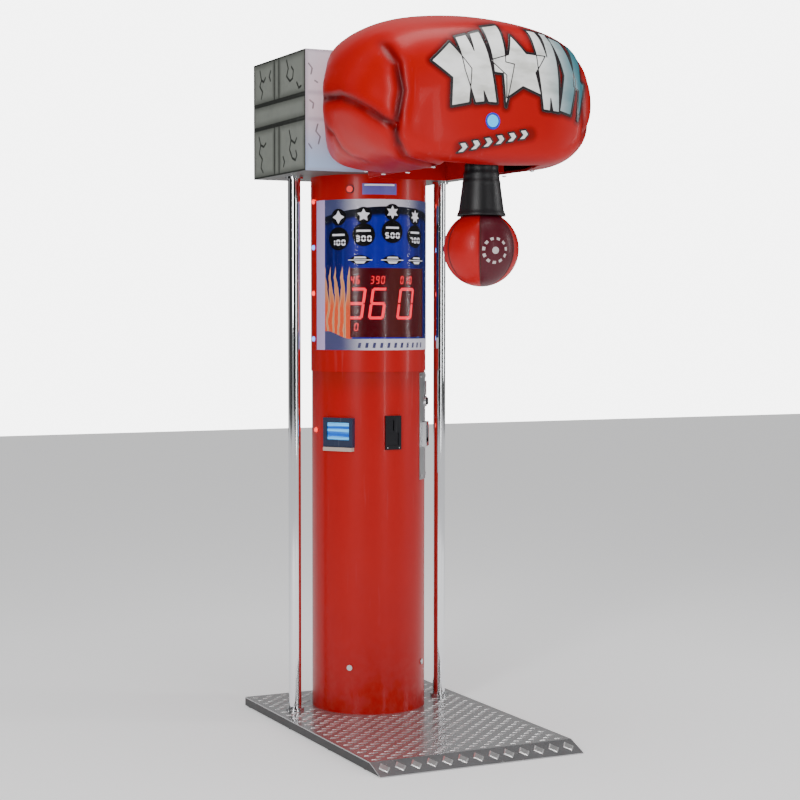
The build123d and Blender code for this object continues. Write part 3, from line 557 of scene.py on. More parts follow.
def paint_bill_bezel(tree, base):
    """Dark blue frame over a bare metal chin."""
    z = object_axes(tree)[2]
    return mix_colour(tree, range_node(tree, z, 0.8705, 0.8712, 1.0, 0.0), base, (0.52, 0.42, 0.36))


def paint_shell(tree, base):
    """Column paint, with painted shadow just under the seam, where the upper shell's edge shades the lower.
    """
    z = object_axes(tree)[2]
    # Painted shadow: darker toward the seam from below, in place of the shade under the upper shell's edge.
    under = range_node(tree, z, 1.02, 1.104, 0.0, 0.45)
    stop = range_node(tree, z, 1.106, 1.1075, 1.0, 0.0)
    return mix_colour(tree, times(tree, under, stop), base, (0.20, 0.012, 0.008))


def paint_emblem(tree, base):
    """Pale shapes with a dark outline, greyer low down and blue green toward the +X end."""
    x, y, z = object_axes(tree)
    shape = attribute_value(tree, "shape")
    end = range_node(tree, x, 0.10, 0.27)
    wave = noise_node(tree, 16.0, 3.0, (0.6, 1, 1.4))
    silver = mix_colour(tree, range_node(tree, wave, 0.30, 0.60), (0.62, 0.62, 0.58), (0.98, 0.98, 0.96))
    silver = mix_colour(tree, range_node(tree, z, 1.84, 1.90, 0.35, 0.0), silver, (0.40, 0.38, 0.36))
    silver = mix_colour(tree, end, silver, (0.03, 0.16, 0.20))
    return mix_colour(tree, range_node(tree, shape, -2.2, -1.0), silver, (0.010, 0.006, 0.008))


print("glove, stone and fitting colours ready")

# %% [markdown]
# Every part's surface
# Red-painted steel, chrome, zinc and tread aluminium, black rubber and plastic, lit buttons and
# lamps. Each could be set up by hand, but one table that gives every named part of the exact
# model its material is easy to read through and shows when a part is left bare.

# %% Materials for the parts
red_shell = make_material("red_shell", (0.45, 0.0, 0.0), roughness=0.34, shine=0.25, coat=0.08, mottle=0.10,
                          scratch=0.03, dust=0.04, layers=paint_shell)
platform_black = make_material("platform_black", (0.006, 0.006, 0.007), roughness=0.4, scratch=0.03)
tread_aluminium = make_material("tread_aluminium", (0.46, 0.46, 0.47), metallic=0.7, roughness=0.22,
                                mottle=0.35, scratch=0.35, bump=0.25, bump_scale=120.0)
# The lozenges take a far paler copy of the tread metal: painted highlight on the raised tops.
tread_painted_highlight = make_material("tread_painted_highlight", (0.93, 0.93, 0.93), metallic=0.8, roughness=0.30,
                             mottle=0.15, scratch=0.2)
chrome = make_material("chrome", (0.82, 0.83, 0.85), metallic=1.0, roughness=0.07, mottle=0.05, scratch=0.06)
steel = make_material("steel", (0.42, 0.42, 0.43), metallic=1.0, roughness=0.36, mottle=0.3)
zinc = make_material("zinc", (0.58, 0.59, 0.60), metallic=1.0, roughness=0.32, mottle=0.4)
black_rubber = make_material("black_rubber", (0.005, 0.0045, 0.006), roughness=0.42, scratch=0.05,
                             bump=0.3, bump_scale=500.0)
black_plastic = make_material("black_plastic", (0.006, 0.006, 0.009), roughness=0.30, scratch=0.05,
                              shine=0.35)
circuit_board = make_material("circuit_board", (0.012, 0.10, 0.04), roughness=0.5)
display_print = make_material("display_print", (0.03, 0.08, 0.30), roughness=0.45, mottle=0.06,
                              scratch=0.0, shine=0.15, glow=0.12, layers=paint_display)
clear_window = make_material("clear_window", (0.02, 0.02, 0.03), roughness=0.05, mottle=0.0,
                             scratch=0.0, alpha=0.06)
red_filter = make_material("red_filter", (0.075, 0.0, 0.003), roughness=0.22, mottle=0.0, scratch=0.0,
                           shine=0.3, glow=0.10, layers=paint_filter)
lamp_red = make_material("lamp_red", (0.95, 0.04, 0.03), roughness=0.15, scratch=0.0, glow=2.2)
lamp_blue = make_material("lamp_blue", (0.10, 0.32, 1.0), roughness=0.15, scratch=0.0, glow=2.2)
button_red = make_material("button_red", (0.85, 0.02, 0.02), roughness=0.2, scratch=0.03, glow=0.7)
button_cyan = make_material("button_cyan", (0.0, 0.42, 0.85), roughness=0.25, scratch=0.0, glow=1.0)
housing_blue = make_material("housing_blue", (0.0, 0.012, 0.16), roughness=0.22, scratch=0.03, glow=0.3)
label_print = make_material("label_print", (0.13, 0.12, 0.42), roughness=0.3, scratch=0.02, glow=0.12)
painted_steel = make_material("painted_steel", (0.03, 0.03, 0.033), roughness=0.4)
grey_box = make_material("grey_box", (0.16, 0.17, 0.18), roughness=0.45)
box_paint = make_material("box_paint", (0.075, 0.08, 0.075), roughness=0.5, scratch=0.1)
stone_side = make_material("stone_side", (0.235, 0.25, 0.22), roughness=0.36, coat=0.2, mottle=0.18,
                           scratch=0.05, layers=paint_stone)
stone_front = make_material("stone_front", (0.84, 0.83, 0.93), roughness=0.32, coat=0.2, mottle=0.12,
                            scratch=0.05, layers=paint_front_stone)
glove_red = make_material("glove_red", (0.47, 0.0, 0.0), roughness=0.38, coat=0.04, shine=0.2, mottle=0.10,
                          scratch=0.03, layers=paint_glove)
ball_vinyl = make_material("ball_vinyl", (0.47, 0.0, 0.001), roughness=0.40, shine=0.3, coat=0.05,
                           mottle=0.12, scratch=0.08, bump=0.2, bump_scale=260.0, layers=paint_ball)
white_print = make_material("white_print", (0.80, 0.80, 0.86), roughness=0.35, scratch=0.02, glow=0.25)
digit_glow = make_material("digit_glow", (0.95, 0.012, 0.035), roughness=0.4, scratch=0.0, glow=1.3)
bill_mouth = make_material("bill_mouth", (0.0, 0.07, 0.42), roughness=0.3, scratch=0.0, glow=0.9,
                           layers=paint_bill_mouth)
bill_frame = make_material("bill_frame", (0.02, 0.03, 0.07), roughness=0.3, layers=paint_bill_bezel)
# The glove graphics also glow faintly: painted light, since nothing lights them from inside.
emblem_print_painted_glow = make_material("emblem_print_painted_glow", (0.8, 0.8, 0.8), roughness=0.35, coat=0.1, mottle=0.05,
                             scratch=0.02, glow=0.22, layers=paint_emblem)

part_materials = {
    chrome: "post_collars side_posts door_lock return_cup mech_bezels",
    red_shell: "well_liner column_lower_shell column_upper_shell service_door window_edge_strips",
    platform_black: "platform_frame",
    tread_aluminium: "tread_plate",
    steel: ("bearing_blocks booms cash_shelf door_hinge_leaves door_hinge_pins latch_pawl latch_plunger "
            "pawl_bracket park_bar pivot_shaft rest_bar shaft_discs score_board_brackets mech_plate "
            "return_flap"),
    zinc: "column_bolts panel_screws column_rings",
    black_rubber: "rubber_pads arm_buffers bag_sleeve",
    bill_mouth: "bill_validator",
    bill_frame: "bill_bezel",
    black_plastic: ("coin_bezel coin_mechanism coin_validator power_inlet speed_sensor "
                    "select_housing return_button"),
    circuit_board: "score_board",
    display_print: "display_art_sheet",
    clear_window: "display_window",
    red_filter: "score_filter",
    lamp_red: "side_lamps_red",
    lamp_blue: "side_lamps_blue",
    button_red: "select_cap",
    button_cyan: "start_cap",
    housing_blue: "start_housing",
    label_print: "name_plate",
    painted_steel: "latch_solenoid punch_arm power_supply box_back_cover",
    grey_box: "cash_box",
    box_paint: "wall_box",
    glove_red: "glove_shell",
    ball_vinyl: "punch_bag",
}
dressed = 0
for material, names in part_materials.items():
    for part_name in names.split():
        if part_name in cad_nodes:
            wear(cad_nodes[part_name], material)
            dressed += 1
print("parts with a material:", dressed, "of", len(cad_nodes))

# %% [markdown]
# The glove
# The real glove is a moulded fibreglass shell about 6 mm thick: two halves laid up in a mould,
# joined, filled and sprayed. Here its outline at each distance ahead of the column is a
# softened rectangle, and a smooth curve runs through the outlines from the wrist to the
# knuckles. Creases are pressed in along drawn lines, with a slight swell on both sides. It
# could be sculpted, but outlines in mm keep it on the exact model's size. The slot for the ball
# is cut last, as it is on the real shell.

# %% Glove
glove_outlines = np.array([
    (214, 238, 1746, 2094, 64), (216, 246, 1738, 2100, 68), (330, 300, 1711, 2124, 100),
    (480, 365, 1692, 2142, 180), (620, 384, 1690, 2140, 200), (720, 372, 1690, 2116, 186),
    (790, 330, 1696, 2084, 158), (830, 276, 1712, 2034, 120), (849, 195, 1748, 1982, 90),
    (856, 95, 1800, 1915, 50), (857, 4, 1856, 1862, 2),
], float)
crease_fist = [(-329, -730, 2057), (-311, -768, 2018), (-295, -810, 1967), (-285, -821, 1891),
               (-295, -816, 1824), (-298, -805, 1798), (-273, -783, 1734), (-247, -762, 1709),
               (-166, -767, 1692)]
crease_thumb = [(-320, -395, 1916), (-363, -473, 1904), (-384, -633, 1891), (-377, -697, 1871),
                (-360, -743, 1848), (-330, -776, 1821), (-298, -805, 1798)]
crease_palm = [(-344, -431, 1833), (-351, -503, 1797), (-325, -500, 1753), (-296, -520, 1724),
               (-272, -555, 1713)]


def smooth_through(values, steps):
    """Catmull-Rom curve: between two values it also uses the one before and the one after, so that
    its slope is continuous."""
    padded = np.vstack((2 * values[0] - values[1], values, 2 * values[-1] - values[-2]))
    index = np.minimum(steps.astype(int), len(values) - 2)
    t = (steps - index)[:, None]
    a, b, c, d = (padded[index + k] for k in range(4))
    return 0.5 * (2 * b + (c - a) * t + (2 * a - 5 * b + 4 * c - d) * t**2 + (3 * b - a - 3 * c + d) * t**3)


def glove_points(steps, columns):
    """Softened rectangles: each half side is shared between a straight part, which a steep curve of the
    angle drives, and a round part, which the plain cosine or sine drives."""
    outline = smooth_through(glove_outlines, steps)
    angle = np.linspace(0, 2 * np.pi, columns, endpoint=False)
    flat_x = np.tanh(3.0 * np.cos(angle)) / np.tanh(3.0)
    flat_z = np.tanh(3.0 * np.sin(angle)) / np.tanh(3.0)
    half_x = outline[:, 1:2]
    half_z = (outline[:, 3:4] - outline[:, 2:3]) / 2
    middle = (outline[:, 3:4] + outline[:, 2:3]) / 2
    corner = outline[:, 4:5] * 1.06
    x = (half_x - corner) * flat_x + corner * np.cos(angle)
    z = middle + (half_z - corner) * flat_z + corner * np.sin(angle)
    side = np.abs(x) / np.maximum(half_x, 1.0)
    crown = np.minimum(0.11 * half_z, 24) * side**1.6
    z = z - crown * (np.sin(angle) > 0) * np.clip(np.sin(angle) * 3, 0, 1)
    return np.stack((x, np.repeat(-outline[:, :1], columns, 1), z), -1)


def crease_depths(flat):
    """How far each point is from each crease, and from two of them mirrored on the far side."""
    mirrored = flat * (-1, 1, 1)
    near = [line_distance(flat, line) for line in (crease_fist, crease_thumb, crease_palm)]
    far = [line_distance(mirrored, line) for line in (crease_fist, crease_thumb)]
    return near, far


glove_steps = np.concatenate((np.linspace(0, 1, 4), np.linspace(1.05, 8.5, 118), np.linspace(8.55, 10, 22)))
glove_rows, glove_columns = len(glove_steps), 300
glove_grid = glove_points(glove_steps, glove_columns)
along = np.gradient(glove_grid, axis=0)
around = np.roll(glove_grid, -1, 1) - np.roll(glove_grid, 1, 1)
outward = np.cross(around, along)
outward /= np.maximum(np.linalg.norm(outward, axis=-1, keepdims=True), 1e-9)
glove_middle = np.array((0, -540, 1930.0))
if (outward * (glove_grid - glove_middle)).sum() < 0:
    outward = -outward
near_creases, far_creases = crease_depths(glove_grid.reshape(-1, 3))
press = np.zeros(glove_rows * glove_columns)
crease_starts = np.array([line[0] for line in (crease_fist, crease_thumb, crease_palm)], float)
glove_places = glove_grid.reshape(-1, 3)
crease_depth = (8, 9, 5, 5, 5)
crease_width = (11, 10, 9, 14, 14)
crease_swell = (2.5, 2.5, 1.5, 1.0, 1.0)
crease_shapes = zip(near_creases + far_creases, crease_depth, crease_width, crease_swell)
for number, (distance, deep, width, swell) in enumerate(crease_shapes):
    begin = crease_starts[number % 3] * ((1, 1, 1) if number < 3 else (-1, 1, 1))
    fade = 1 - np.exp(-((np.linalg.norm(glove_places - begin, axis=1) / 55) ** 2))
    press -= fade * deep * np.exp(-((distance / width) ** 2))
    press += fade * swell * np.exp(-(((distance - 34) / 22) ** 2))
glove_grid = glove_grid + outward * press.reshape(glove_rows, glove_columns, 1)
glove_lowest = 1687
glove_grid[..., 2] = np.maximum(glove_grid[..., 2], glove_lowest)
glove_faces = grid_faces(glove_rows, glove_columns, False, True).tolist()
glove_faces.append(list(range(glove_columns))[::-1])
glove_faces.append(list(range((glove_rows - 1) * glove_columns, glove_rows * glove_columns)))
glove = add_object("glove", glove_grid * mm, glove_faces)
wall = glove.modifiers.new("wall", "SOLIDIFY")
wall.thickness = 6 * mm
wall.offset = -1
bake_modifiers(glove)


def tool_box(name, low, high):
    """Plain box used to cut another piece."""
    xs, ys, zs = zip(low, high)
    points = [(xs[i], ys[j], zs[k]) for i in (0, 1) for j in (0, 1) for k in (0, 1)]
    faces = [[0, 1, 3, 2], [4, 6, 7, 5], [0, 4, 5, 1], [2, 3, 7, 6], [0, 2, 6, 4], [1, 5, 7, 3]]
    return add_object(name, np.array(points) * mm, faces, smooth=False)


slot_tool = tool_box("slot_tool", (-150, -809, 1600), (150, -277, 1780))
slot_cut = glove.modifiers.new("slot", "BOOLEAN")
slot_cut.object = slot_tool
slot_cut.operation = "DIFFERENCE"
slot_cut.solver = "EXACT"
bake_modifiers(glove)
bpy.data.objects.remove(slot_tool)
glove_flat = points_of(glove) / mm
near_creases, far_creases = crease_depths(glove_flat)
# Painted shade along the creases: how dark each point gets from its nearest crease.
crease_shade = np.zeros(len(glove_flat))
for distance, share in zip(near_creases + far_creases, (0.95, 0.9, 0.6, 0.5, 0.5)):
    crease_shade = np.maximum(crease_shade, share * np.exp(-((distance / 15) ** 2)))
set_attribute(glove, "crease", crease_shade)
wear(glove, glove_red)
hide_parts("glove_shell")
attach(glove, "machine")
print("glove faces:", len(glove.data.polygons))

# %% [markdown]
# Graphics on the glove
# The real glove carries printed vinyl cut to shape. Each graphic is drawn flat, facing forward,
# then laid on the glove by pushing it back until it meets the surface. Shapes are a star
# between arrows, slabs and bolts, with a dark outline all round and a soft dark spray under it.
# A map on the glove itself would stretch where the knuckles turn away; a cut sheet doesn't.

# %% Glove graphics
def star(centre, outer, inner, points=5, lean=0.0):
    """Corners of a star: radius alternates between two values as the angle goes round."""
    turn_angle = np.pi / 2 + lean + np.arange(2 * points) * np.pi / points
    radius = np.where(np.arange(2 * points) % 2 == 0, outer, inner)
    return np.stack((centre[0] + radius * np.cos(turn_angle), centre[1] + radius * np.sin(turn_angle)), -1)


def lay_on_glove(name, polygons, low, high, step, outline):
    """Cut print on the glove. Only cells inside the outline are kept, then the sheet is projected back
    onto the glove and given a thickness."""
    x = np.arange(low[0], high[0], step)
    z = np.arange(low[1], high[1], step)
    gx, gz = np.meshgrid(x, z)
    flat = np.stack((gx.ravel(), gz.ravel()), -1)
    distance = union_distance(flat, polygons)
    edges = np.full(len(flat), 1e3)
    for polygon in polygons:
        edges = np.minimum(edges, np.abs(polygon_distance(flat, polygon)))
    shape = distance.reshape(gx.shape)
    keep = np.maximum.reduce((shape[:-1, :-1], shape[1:, :-1], shape[:-1, 1:], shape[1:, 1:])) < outline
    faces = grid_faces(len(z), len(x))[keep.ravel()]
    used, renumbered = np.unique(faces, return_inverse=True)
    points = np.stack((flat[used, 0], np.full(len(used), -1000.0), flat[used, 1]), -1)
    piece = add_object(name, points * mm, renumbered.reshape(-1, 4).tolist())
    set_attribute(piece, "shape", np.maximum(distance, -edges)[used])
    lay = piece.modifiers.new("lay", "SHRINKWRAP")
    lay.target = glove
    lay.wrap_method = "PROJECT"
    lay.use_project_y = True
    lay.use_negative_direction = False
    lay.use_positive_direction = True
    lay.wrap_mode = "ABOVE_SURFACE"
    lay.offset = 0.0008
    thick = piece.modifiers.new("thick", "SOLIDIFY")
    thick.thickness = 0.0006
    thick.offset = 0
    bake_modifiers(piece)
    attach(piece, "machine")
    return piece


def band_point(s, t):
    """A place in the band: s runs along it and t from its lower edge to its upper."""
    s = np.asarray(s, float)
    lower = np.interp(s, (0, 0.2, 0.4, 0.6, 0.82, 1), (1850, 1868, 1866, 1858, 1850, 1826))
    upper = np.interp(s, (0, 0.14, 0.34, 0.5, 0.8, 1), (1976, 2040, 2068, 2084, 2070, 2040))
    x = -205 + s * 490 - (1 - np.asarray(t, float)) * (1 - s) * -60
    return np.stack((x, lower + (upper - lower) * t), -1)


def band_shape(corners):
    """Polygon in the band from (s, t) corners."""
    corners = np.array(corners, float)
    return band_point(corners[:, 0], corners[:, 1])


def slab(s, width, low=0.0, high=1.0, lean=0.02, bite=0.25):
    """A chunky leaning slab with a wedge bitten out of its top and a smaller one out of its foot."""
    middle = s + width * 0.5
    foot = [(s, low), (s + width * 0.42, low), (middle, low + 0.16), (s + width * 0.6, low), (s + width, low)]
    far_side = [(s + width + lean * 0.6, 0.45), (s + width + lean, high)]
    top = [(middle + lean + 0.012, high), (middle + lean / 2, high - bite), (middle + lean - 0.014, high)]
    near_side = [(s + lean * 0.6, high), (s - lean * 0.5, 0.5)]
    return band_shape(foot + far_side + top + near_side)


def bolt(s, width, low=0.0, high=1.0):
    """A lightning bolt: two offset wedges meeting in the middle."""
    return band_shape([(s + width * 0.25, low), (s + width, 0.52), (s + width * 0.62, 0.55),
                       (s + width * 0.95, high), (s + width * 0.2, high), (s, 0.42), (s + width * 0.4, 0.40)])


def arrow_block(s, width, low=0.0, high=1.0):
    """A chunky arrow block pointing along the band."""
    return band_shape([(s, low), (s + width * 0.62, low), (s + width, 0.5), (s + width * 0.66, high),
                       (s + width * 0.04, high), (s + width * 0.36, 0.5)])


band_star = star((66, 1966), 96, 50, 5, 0.12)
emblem_shapes = [
    arrow_block(-0.01, 0.20, 0.02, 0.98), slab(0.155, 0.155, 0.0, 1.0), bolt(0.335, 0.15, -0.04, 1.05),
    band_star, slab(0.66, 0.125, 0.0, 1.04, 0.02, 0.35), arrow_block(0.79, 0.145, 0.02, 1.0),
    bolt(0.915, 0.11, 0.0, 1.0),
]
emblem = lay_on_glove("glove_emblem", emblem_shapes, (-225, 1815), (310, 2105), 1.7, 6.5)
wear(emblem, emblem_print_painted_glow)

glove_places = points_of(glove) / mm
on_the_front = glove_places[:, 1] < -560
near_emblem = np.full(len(glove_places), 1e3)
front_places = glove_places[on_the_front][:, [0, 2]]
near_emblem[on_the_front] = union_distance(front_places, emblem_shapes)
start_line = [(-118, 1741), (96, 1786)]
near_start = line_distance(glove_places[:, [0, 2]], start_line)
sprayed = 0.85 * np.clip(1 - (near_emblem - 4) / 17, 0, 1)
sprayed = np.maximum(sprayed, 0.55 * np.clip(1 - (near_start - 12) / 16, 0, 1) * on_the_front)
set_attribute(glove, "sprayed", sprayed)

chevrons = []
for place in np.linspace(0, 1, 7)[:-1]:
    x0, z0 = -128 + place * 224, 1727 + place * 50
    chevrons.append([(x0, z0), (x0 + 20, z0 + 3), (x0 + 32, z0 + 17), (x0 + 22, z0 + 29), (x0 + 4, z0 + 26),
                     (x0 + 14, z0 + 14)])
start_arrows = lay_on_glove("start_arrows", chevrons, (-140, 1715), (115, 1815), 1.7, 3.4)
wear(start_arrows, emblem_print_painted_glow)
print("glove graphics faces:", count_faces([emblem, start_arrows]))

# %% [markdown]
# Screws under the glove
# Dome-headed chrome screws hold the glove's underside to the frame round the slot. A dome is a
# quarter circle swept round, closed by a flat seat. Half a sphere would do as well, but a
# profile gives the low dome of a real screw with few faces.

# %% Glove screws
dome_angle = np.linspace(0, np.pi / 2, 6)
dome_profile = [(7.5 * math.cos(a), -4.5 * math.sin(a)) for a in dome_angle[:-1]] + [(0.4, -4.5), (0.4, 0)]
screw_places = [(-158, -760), (-158, -600), (-158, -440), (-158, -320), (158, -760), (158, -600),
                (158, -440), (158, -320)]
glove_screws = []
for place, (x, y) in enumerate(screw_places):
    height = float(np.interp(-y, glove_outlines[:, 0], glove_outlines[:, 2])) + 1
    screw = revolve("glove_screw_%d" % place, dome_profile[::-1], (x, y, height), 20)
    wear(screw, chrome)
    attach(screw, "machine")
    glove_screws.append(screw)
print("glove screws:", len(glove_screws))

# %% [markdown]
# The punch ball The real ball is a vinyl cover of six gores sewn over a foam core. The cover
# starts a little small, its six seams are held, and a cloth simulation with air pressure
# inside swells the gores between them.

# %% Punch ball
arm_y = -749
ball_centre = np.array((0, arm_y, 1469.5)) * mm
ball_rows, ball_columns = 49, 96
polar = np.linspace(0.06, np.pi - 0.05, ball_rows)
azimuth = np.linspace(0, 2 * np.pi, ball_columns, endpoint=False)
polar_grid, azimuth_grid = np.meshgrid(polar, azimuth, indexing="ij")
seam_turn = np.radians(-60)
from_seam = np.abs(((azimuth_grid - seam_turn) / (np.pi / 3) + 0.5) % 1 - 0.5)
ball_radius = 0.1065 - 0.0018 * np.exp(-((from_seam / 0.05) ** 2)) * np.sin(polar_grid)
ball_points = np.stack((
    ball_radius * np.sin(polar_grid) * np.cos(azimuth_grid),
    ball_radius * np.sin(polar_grid) * np.sin(azimuth_grid),
    ball_radius * np.cos(polar_grid),
), -1) + ball_centre
ball_points[..., 2] = np.minimum(ball_points[..., 2], 1.5722)
ball_faces = grid_faces(ball_rows, ball_columns, False, True)[:, ::-1].tolist()
ball_faces.append(list(range(ball_columns)))
ball_faces.append(list(range((ball_rows - 1) * ball_columns, ball_rows * ball_columns))[::-1])
ball = add_object("ball_cover", ball_points, ball_faces)
wear(ball, ball_vinyl)


def inflate(piece, held, limit):
    """Cloth with air pressure. Held points stay; no point ends further from its start than the limit."""
    start = points_of(piece)
    group = piece.vertex_groups.new(name="held")
    group.add(np.flatnonzero(held).tolist(), 1.0, "REPLACE")
    cloth = piece.modifiers.new("cloth", "CLOTH")
    cloth.settings.quality = 6
    cloth.settings.mass = 0.35
    cloth.settings.tension_stiffness = 30
    cloth.settings.compression_stiffness = 30
    cloth.settings.bending_stiffness = 2.0
    cloth.settings.use_pressure = True
    cloth.settings.uniform_pressure_force = 4
    cloth.settings.vertex_group_mass = "held"
    cloth.settings.effector_weights.gravity = 0
    cloth.point_cache.frame_start = 1
    cloth.point_cache.frame_end = 20
    for moment in range(1, 21):
        bpy.context.scene.frame_set(moment)
    bake_modifiers(piece)
    bpy.context.scene.frame_set(1)
    moved = points_of(piece) - start
    length = np.linalg.norm(moved, axis=1, keepdims=True)
    moved *= np.minimum(1.0, limit / np.maximum(length, 1e-9))
    piece.data.vertices.foreach_set("co", (start + moved).ravel())
    piece.data.update()


seam_points = (from_seam < 0.02).ravel()
pole_points = np.zeros((ball_rows, ball_columns), bool)
pole_points[:3] = True
pole_points[-3:] = True
most_swell = 0.0042
inflate(ball, seam_points | pole_points.ravel(), most_swell)
front_gore = np.abs(((azimuth_grid + np.pi / 2 + np.pi) % (2 * np.pi)) - np.pi) < np.pi / 6
set_attribute(ball, "dark_gore", front_gore.ravel().astype(float))
set_attribute(ball, "seam", 0.8 * np.exp(-((from_seam.ravel() / 0.018) ** 2)))
finer = ball.modifiers.new("finer", "SUBSURF")
finer.levels = 1
finer.render_levels = 1
bake_modifiers(ball)
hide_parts("punch_bag")
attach(ball, "bag")

piping_radius = 0.0011
piping_reach = 0.1052
piping_rows, piping_sides = 44, 8
down = np.linspace(0.42, np.pi - 0.06, piping_rows)
cord_turn = np.linspace(0, 2 * np.pi, piping_sides, endpoint=False)
piping = []
for number in range(6):
    turn_angle = seam_turn + number * np.pi / 3
    across = np.array((-math.sin(turn_angle), math.cos(turn_angle), 0))
    path_x, path_y = np.sin(down) * math.cos(turn_angle), np.sin(down) * math.sin(turn_angle)
    path_out = np.stack((path_x, path_y, np.cos(down)), -1)
    middle = ball_centre + path_out * piping_reach
    points = (middle[:, None] + piping_radius * (np.cos(cord_turn)[None, :, None] * path_out[:, None]
              + np.sin(cord_turn)[None, :, None] * across))
    faces = grid_faces(piping_rows, piping_sides, False, True).tolist()
    last = (piping_rows - 1) * piping_sides
    faces += [list(range(piping_sides))[::-1], list(range(last, last + piping_sides))]
    cord = add_object("ball_piping_%d" % number, points, faces)
    piping.append(cord)
seam_thread = make_material("seam_thread", (0.05, 0.004, 0.006), roughness=0.5, scratch=0.0)
for cord in piping:
    wear(cord, seam_thread)
    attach(cord, "bag")
print("ball faces:", len(ball.data.polygons))

# %% [markdown]
# The rubber sleeve
# A moulded rubber boot covers the joint between ball and arm: a cone with a bead at its lower lip
# and a few shallow ribs near the top so that it can flex. It is one profile swept round, with the
# inner wall as part of the profile, so that it stays a closed skin with real thickness.

# %% Sleeve
sleeve_top, sleeve_low = 1725.0, 1561.2
share = np.linspace(0, 1, 40)
ribs = 0.9 * np.cos(share * 2 * np.pi * 7) * (share > 0.55)
cone_radius = 66 + (44 - 66) * share + ribs
cone_radius[:4] += (2.6, 3.4, 2.4, 1.0)
outer_wall = np.stack((cone_radius, share * (sleeve_top - sleeve_low)), -1)
inner_wall = np.stack((cone_radius[::-4] - 4.0, share[::-4] * (sleeve_top - sleeve_low)), -1)
sleeve = revolve("sleeve", np.vstack((outer_wall, inner_wall)), (0, arm_y, sleeve_low), 72)
wear(sleeve, black_rubber)
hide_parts("bag_sleeve")
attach(sleeve, "bag")
print("sleeve faces:", len(sleeve.data.polygons))

# %% [markdown]
# Painted stone on the wall box
# The box is sheet steel with an airbrushed stone pattern: two courses of blocks with a mortar
# band between them and a few cracks drawn with a brush. Each painted skin is a thin plate
# just over the steel, and stores its distance to the nearest joint and crack. Carved grooves
# would catch the light as real stone does, but the real pattern is flat paint.

# %% Stone skins
box_half_width = 310.0
box_front = -215.0
box_back = 205
stone_low, stone_high = 1720, 2084


def stone_skin(name, axis, place, across, step, joints, cracks, material, outward_sign):
    """A plate in the plane where one axis has a fixed value. Joints and cracks are lines in mm, given
    as (across, height)."""
    low, high = across
    run = np.linspace(low, high, int((high - low) / step) + 1)
    heights = np.linspace(stone_low, stone_high, int((stone_high - stone_low) / step) + 1)
    run_grid, height_grid = np.meshgrid(run, heights)
    flat = np.stack((run_grid.ravel(), height_grid.ravel()), -1)
    fixed = np.full(len(flat), place)
    columns = [flat[:, 0], flat[:, 1]]
    columns.insert(0 if axis == "x" else 1, fixed)
    faces = grid_faces(len(heights), len(run))
    facing_x = axis == "x"
    if (outward_sign > 0) != facing_x:
        faces = faces[:, ::-1]
    piece = add_object(name, np.stack(columns, -1) * mm, faces.tolist(), smooth=False)
    joint = np.full(len(flat), 1e3)
    for line in joints:
        joint = np.minimum(joint, line_distance(flat, line))
    crack = np.full(len(flat), 1e3)
    for line in cracks:
        crack = np.minimum(crack, line_distance(flat, line))
    set_attribute(piece, "joint", joint)
    set_attribute(piece, "crack", crack)
    thick = piece.modifiers.new("thick", "SOLIDIFY")
    thick.thickness = 0.0008
    thick.offset = 1
    bake_modifiers(piece)
    wear(piece, material)
    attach(piece, "machine")
    return piece


side_joints = [[(-213, 1954), (203, 1954)], [(-213, 1946), (203, 1948)], [(-213, 1882), (203, 1880)],
               [(-213, 1874), (203, 1874)], [(30, 2082), (30, 1954)], [(-8, 2082), (-8, 1954)],
               [(30, 1874), (30, 1722)], [(-8, 1874), (-8, 1722)],
               [(-213, 2082), (203, 2082), (203, 1722), (-213, 1722), (-213, 2082)]]
side_cracks = [
    [(150, 2060), (138, 2030), (152, 2012), (128, 1992), (140, 1972)],
    [(138, 2030), (118, 2022), (104, 2034)],
    [(-70, 2066), (-84, 2040), (-70, 2018), (-96, 2000), (-118, 2006), (-124, 2030), (-108, 2042)],
    [(-150, 1990), (-166, 1972), (-184, 1976)],
    [(160, 1852), (146, 1826), (158, 1800), (132, 1780), (144, 1754), (126, 1738)],
    [(146, 1826), (120, 1818), (102, 1828)],
    [(-90, 1850), (-104, 1820), (-92, 1792), (-114, 1764)], [(-104, 1820), (-134, 1808), (-148, 1822)],
    [(-114, 1764), (-138, 1756), (-150, 1770), (-142, 1784)],
    [(60, 2050), (72, 2034), (62, 2020)], [(-40, 1774), (-52, 1758), (-44, 1744)],
]
stone_sides = [
    stone_skin(name, "x", sign * box_half_width, (box_front, box_back), 2.6, side_joints, side_cracks,
               stone_side, sign)
    for name, sign in (("stone_left", -1), ("stone_right", 1))
]
front_joints = [[(-308, 1954), (-160, 1954)], [(-308, 1874), (-160, 1874)], [(160, 1954), (308, 1954)],
                [(160, 1874), (308, 1874)],
                [(-308, 2082), (308, 2082), (308, 1722), (-308, 1722), (-308, 2082)]]
front_cracks = [[(-300, 2040), (-288, 2026), (-292, 2008)], [(-280, 1990), (-270, 1984)],
                [(-296, 1930), (-284, 1922), (-286, 1906)],
                [(-270, 1860), (-276, 1838), (-262, 1822), (-268, 1800)],
                [(-300, 1800), (-290, 1786)], [(300, 2040), (284, 2022), (292, 2004)],
                [(280, 1850), (290, 1830), (276, 1812)]]
stone_face = stone_skin("stone_front", "y", box_front, (-box_half_width, box_half_width), 3.4, front_joints,
                        front_cracks, stone_front, -1)
print("stone faces:", count_faces([*stone_sides, stone_face]))

# %% [markdown]
# Badges and digits on the display
# Round black badges carry an icon and the score to beat, in figures built from seven short bars.
# The live score uses the same seven bars, leaning a little. A real one shines through the filter
# from behind it; here each lit bar is a thin glowing tile on the filter's face. Text objects
# could carry the figures, but seven bars are how such a display really builds them.

# %% Display figures
segment_table = {"0": "abcdef", "1": "bc", "2": "abged", "3": "abgcd", "4": "fgbc", "5": "afgcd",
                 "6": "afgedc", "7": "abc", "8": "abcdefg", "9": "abcdfg"}


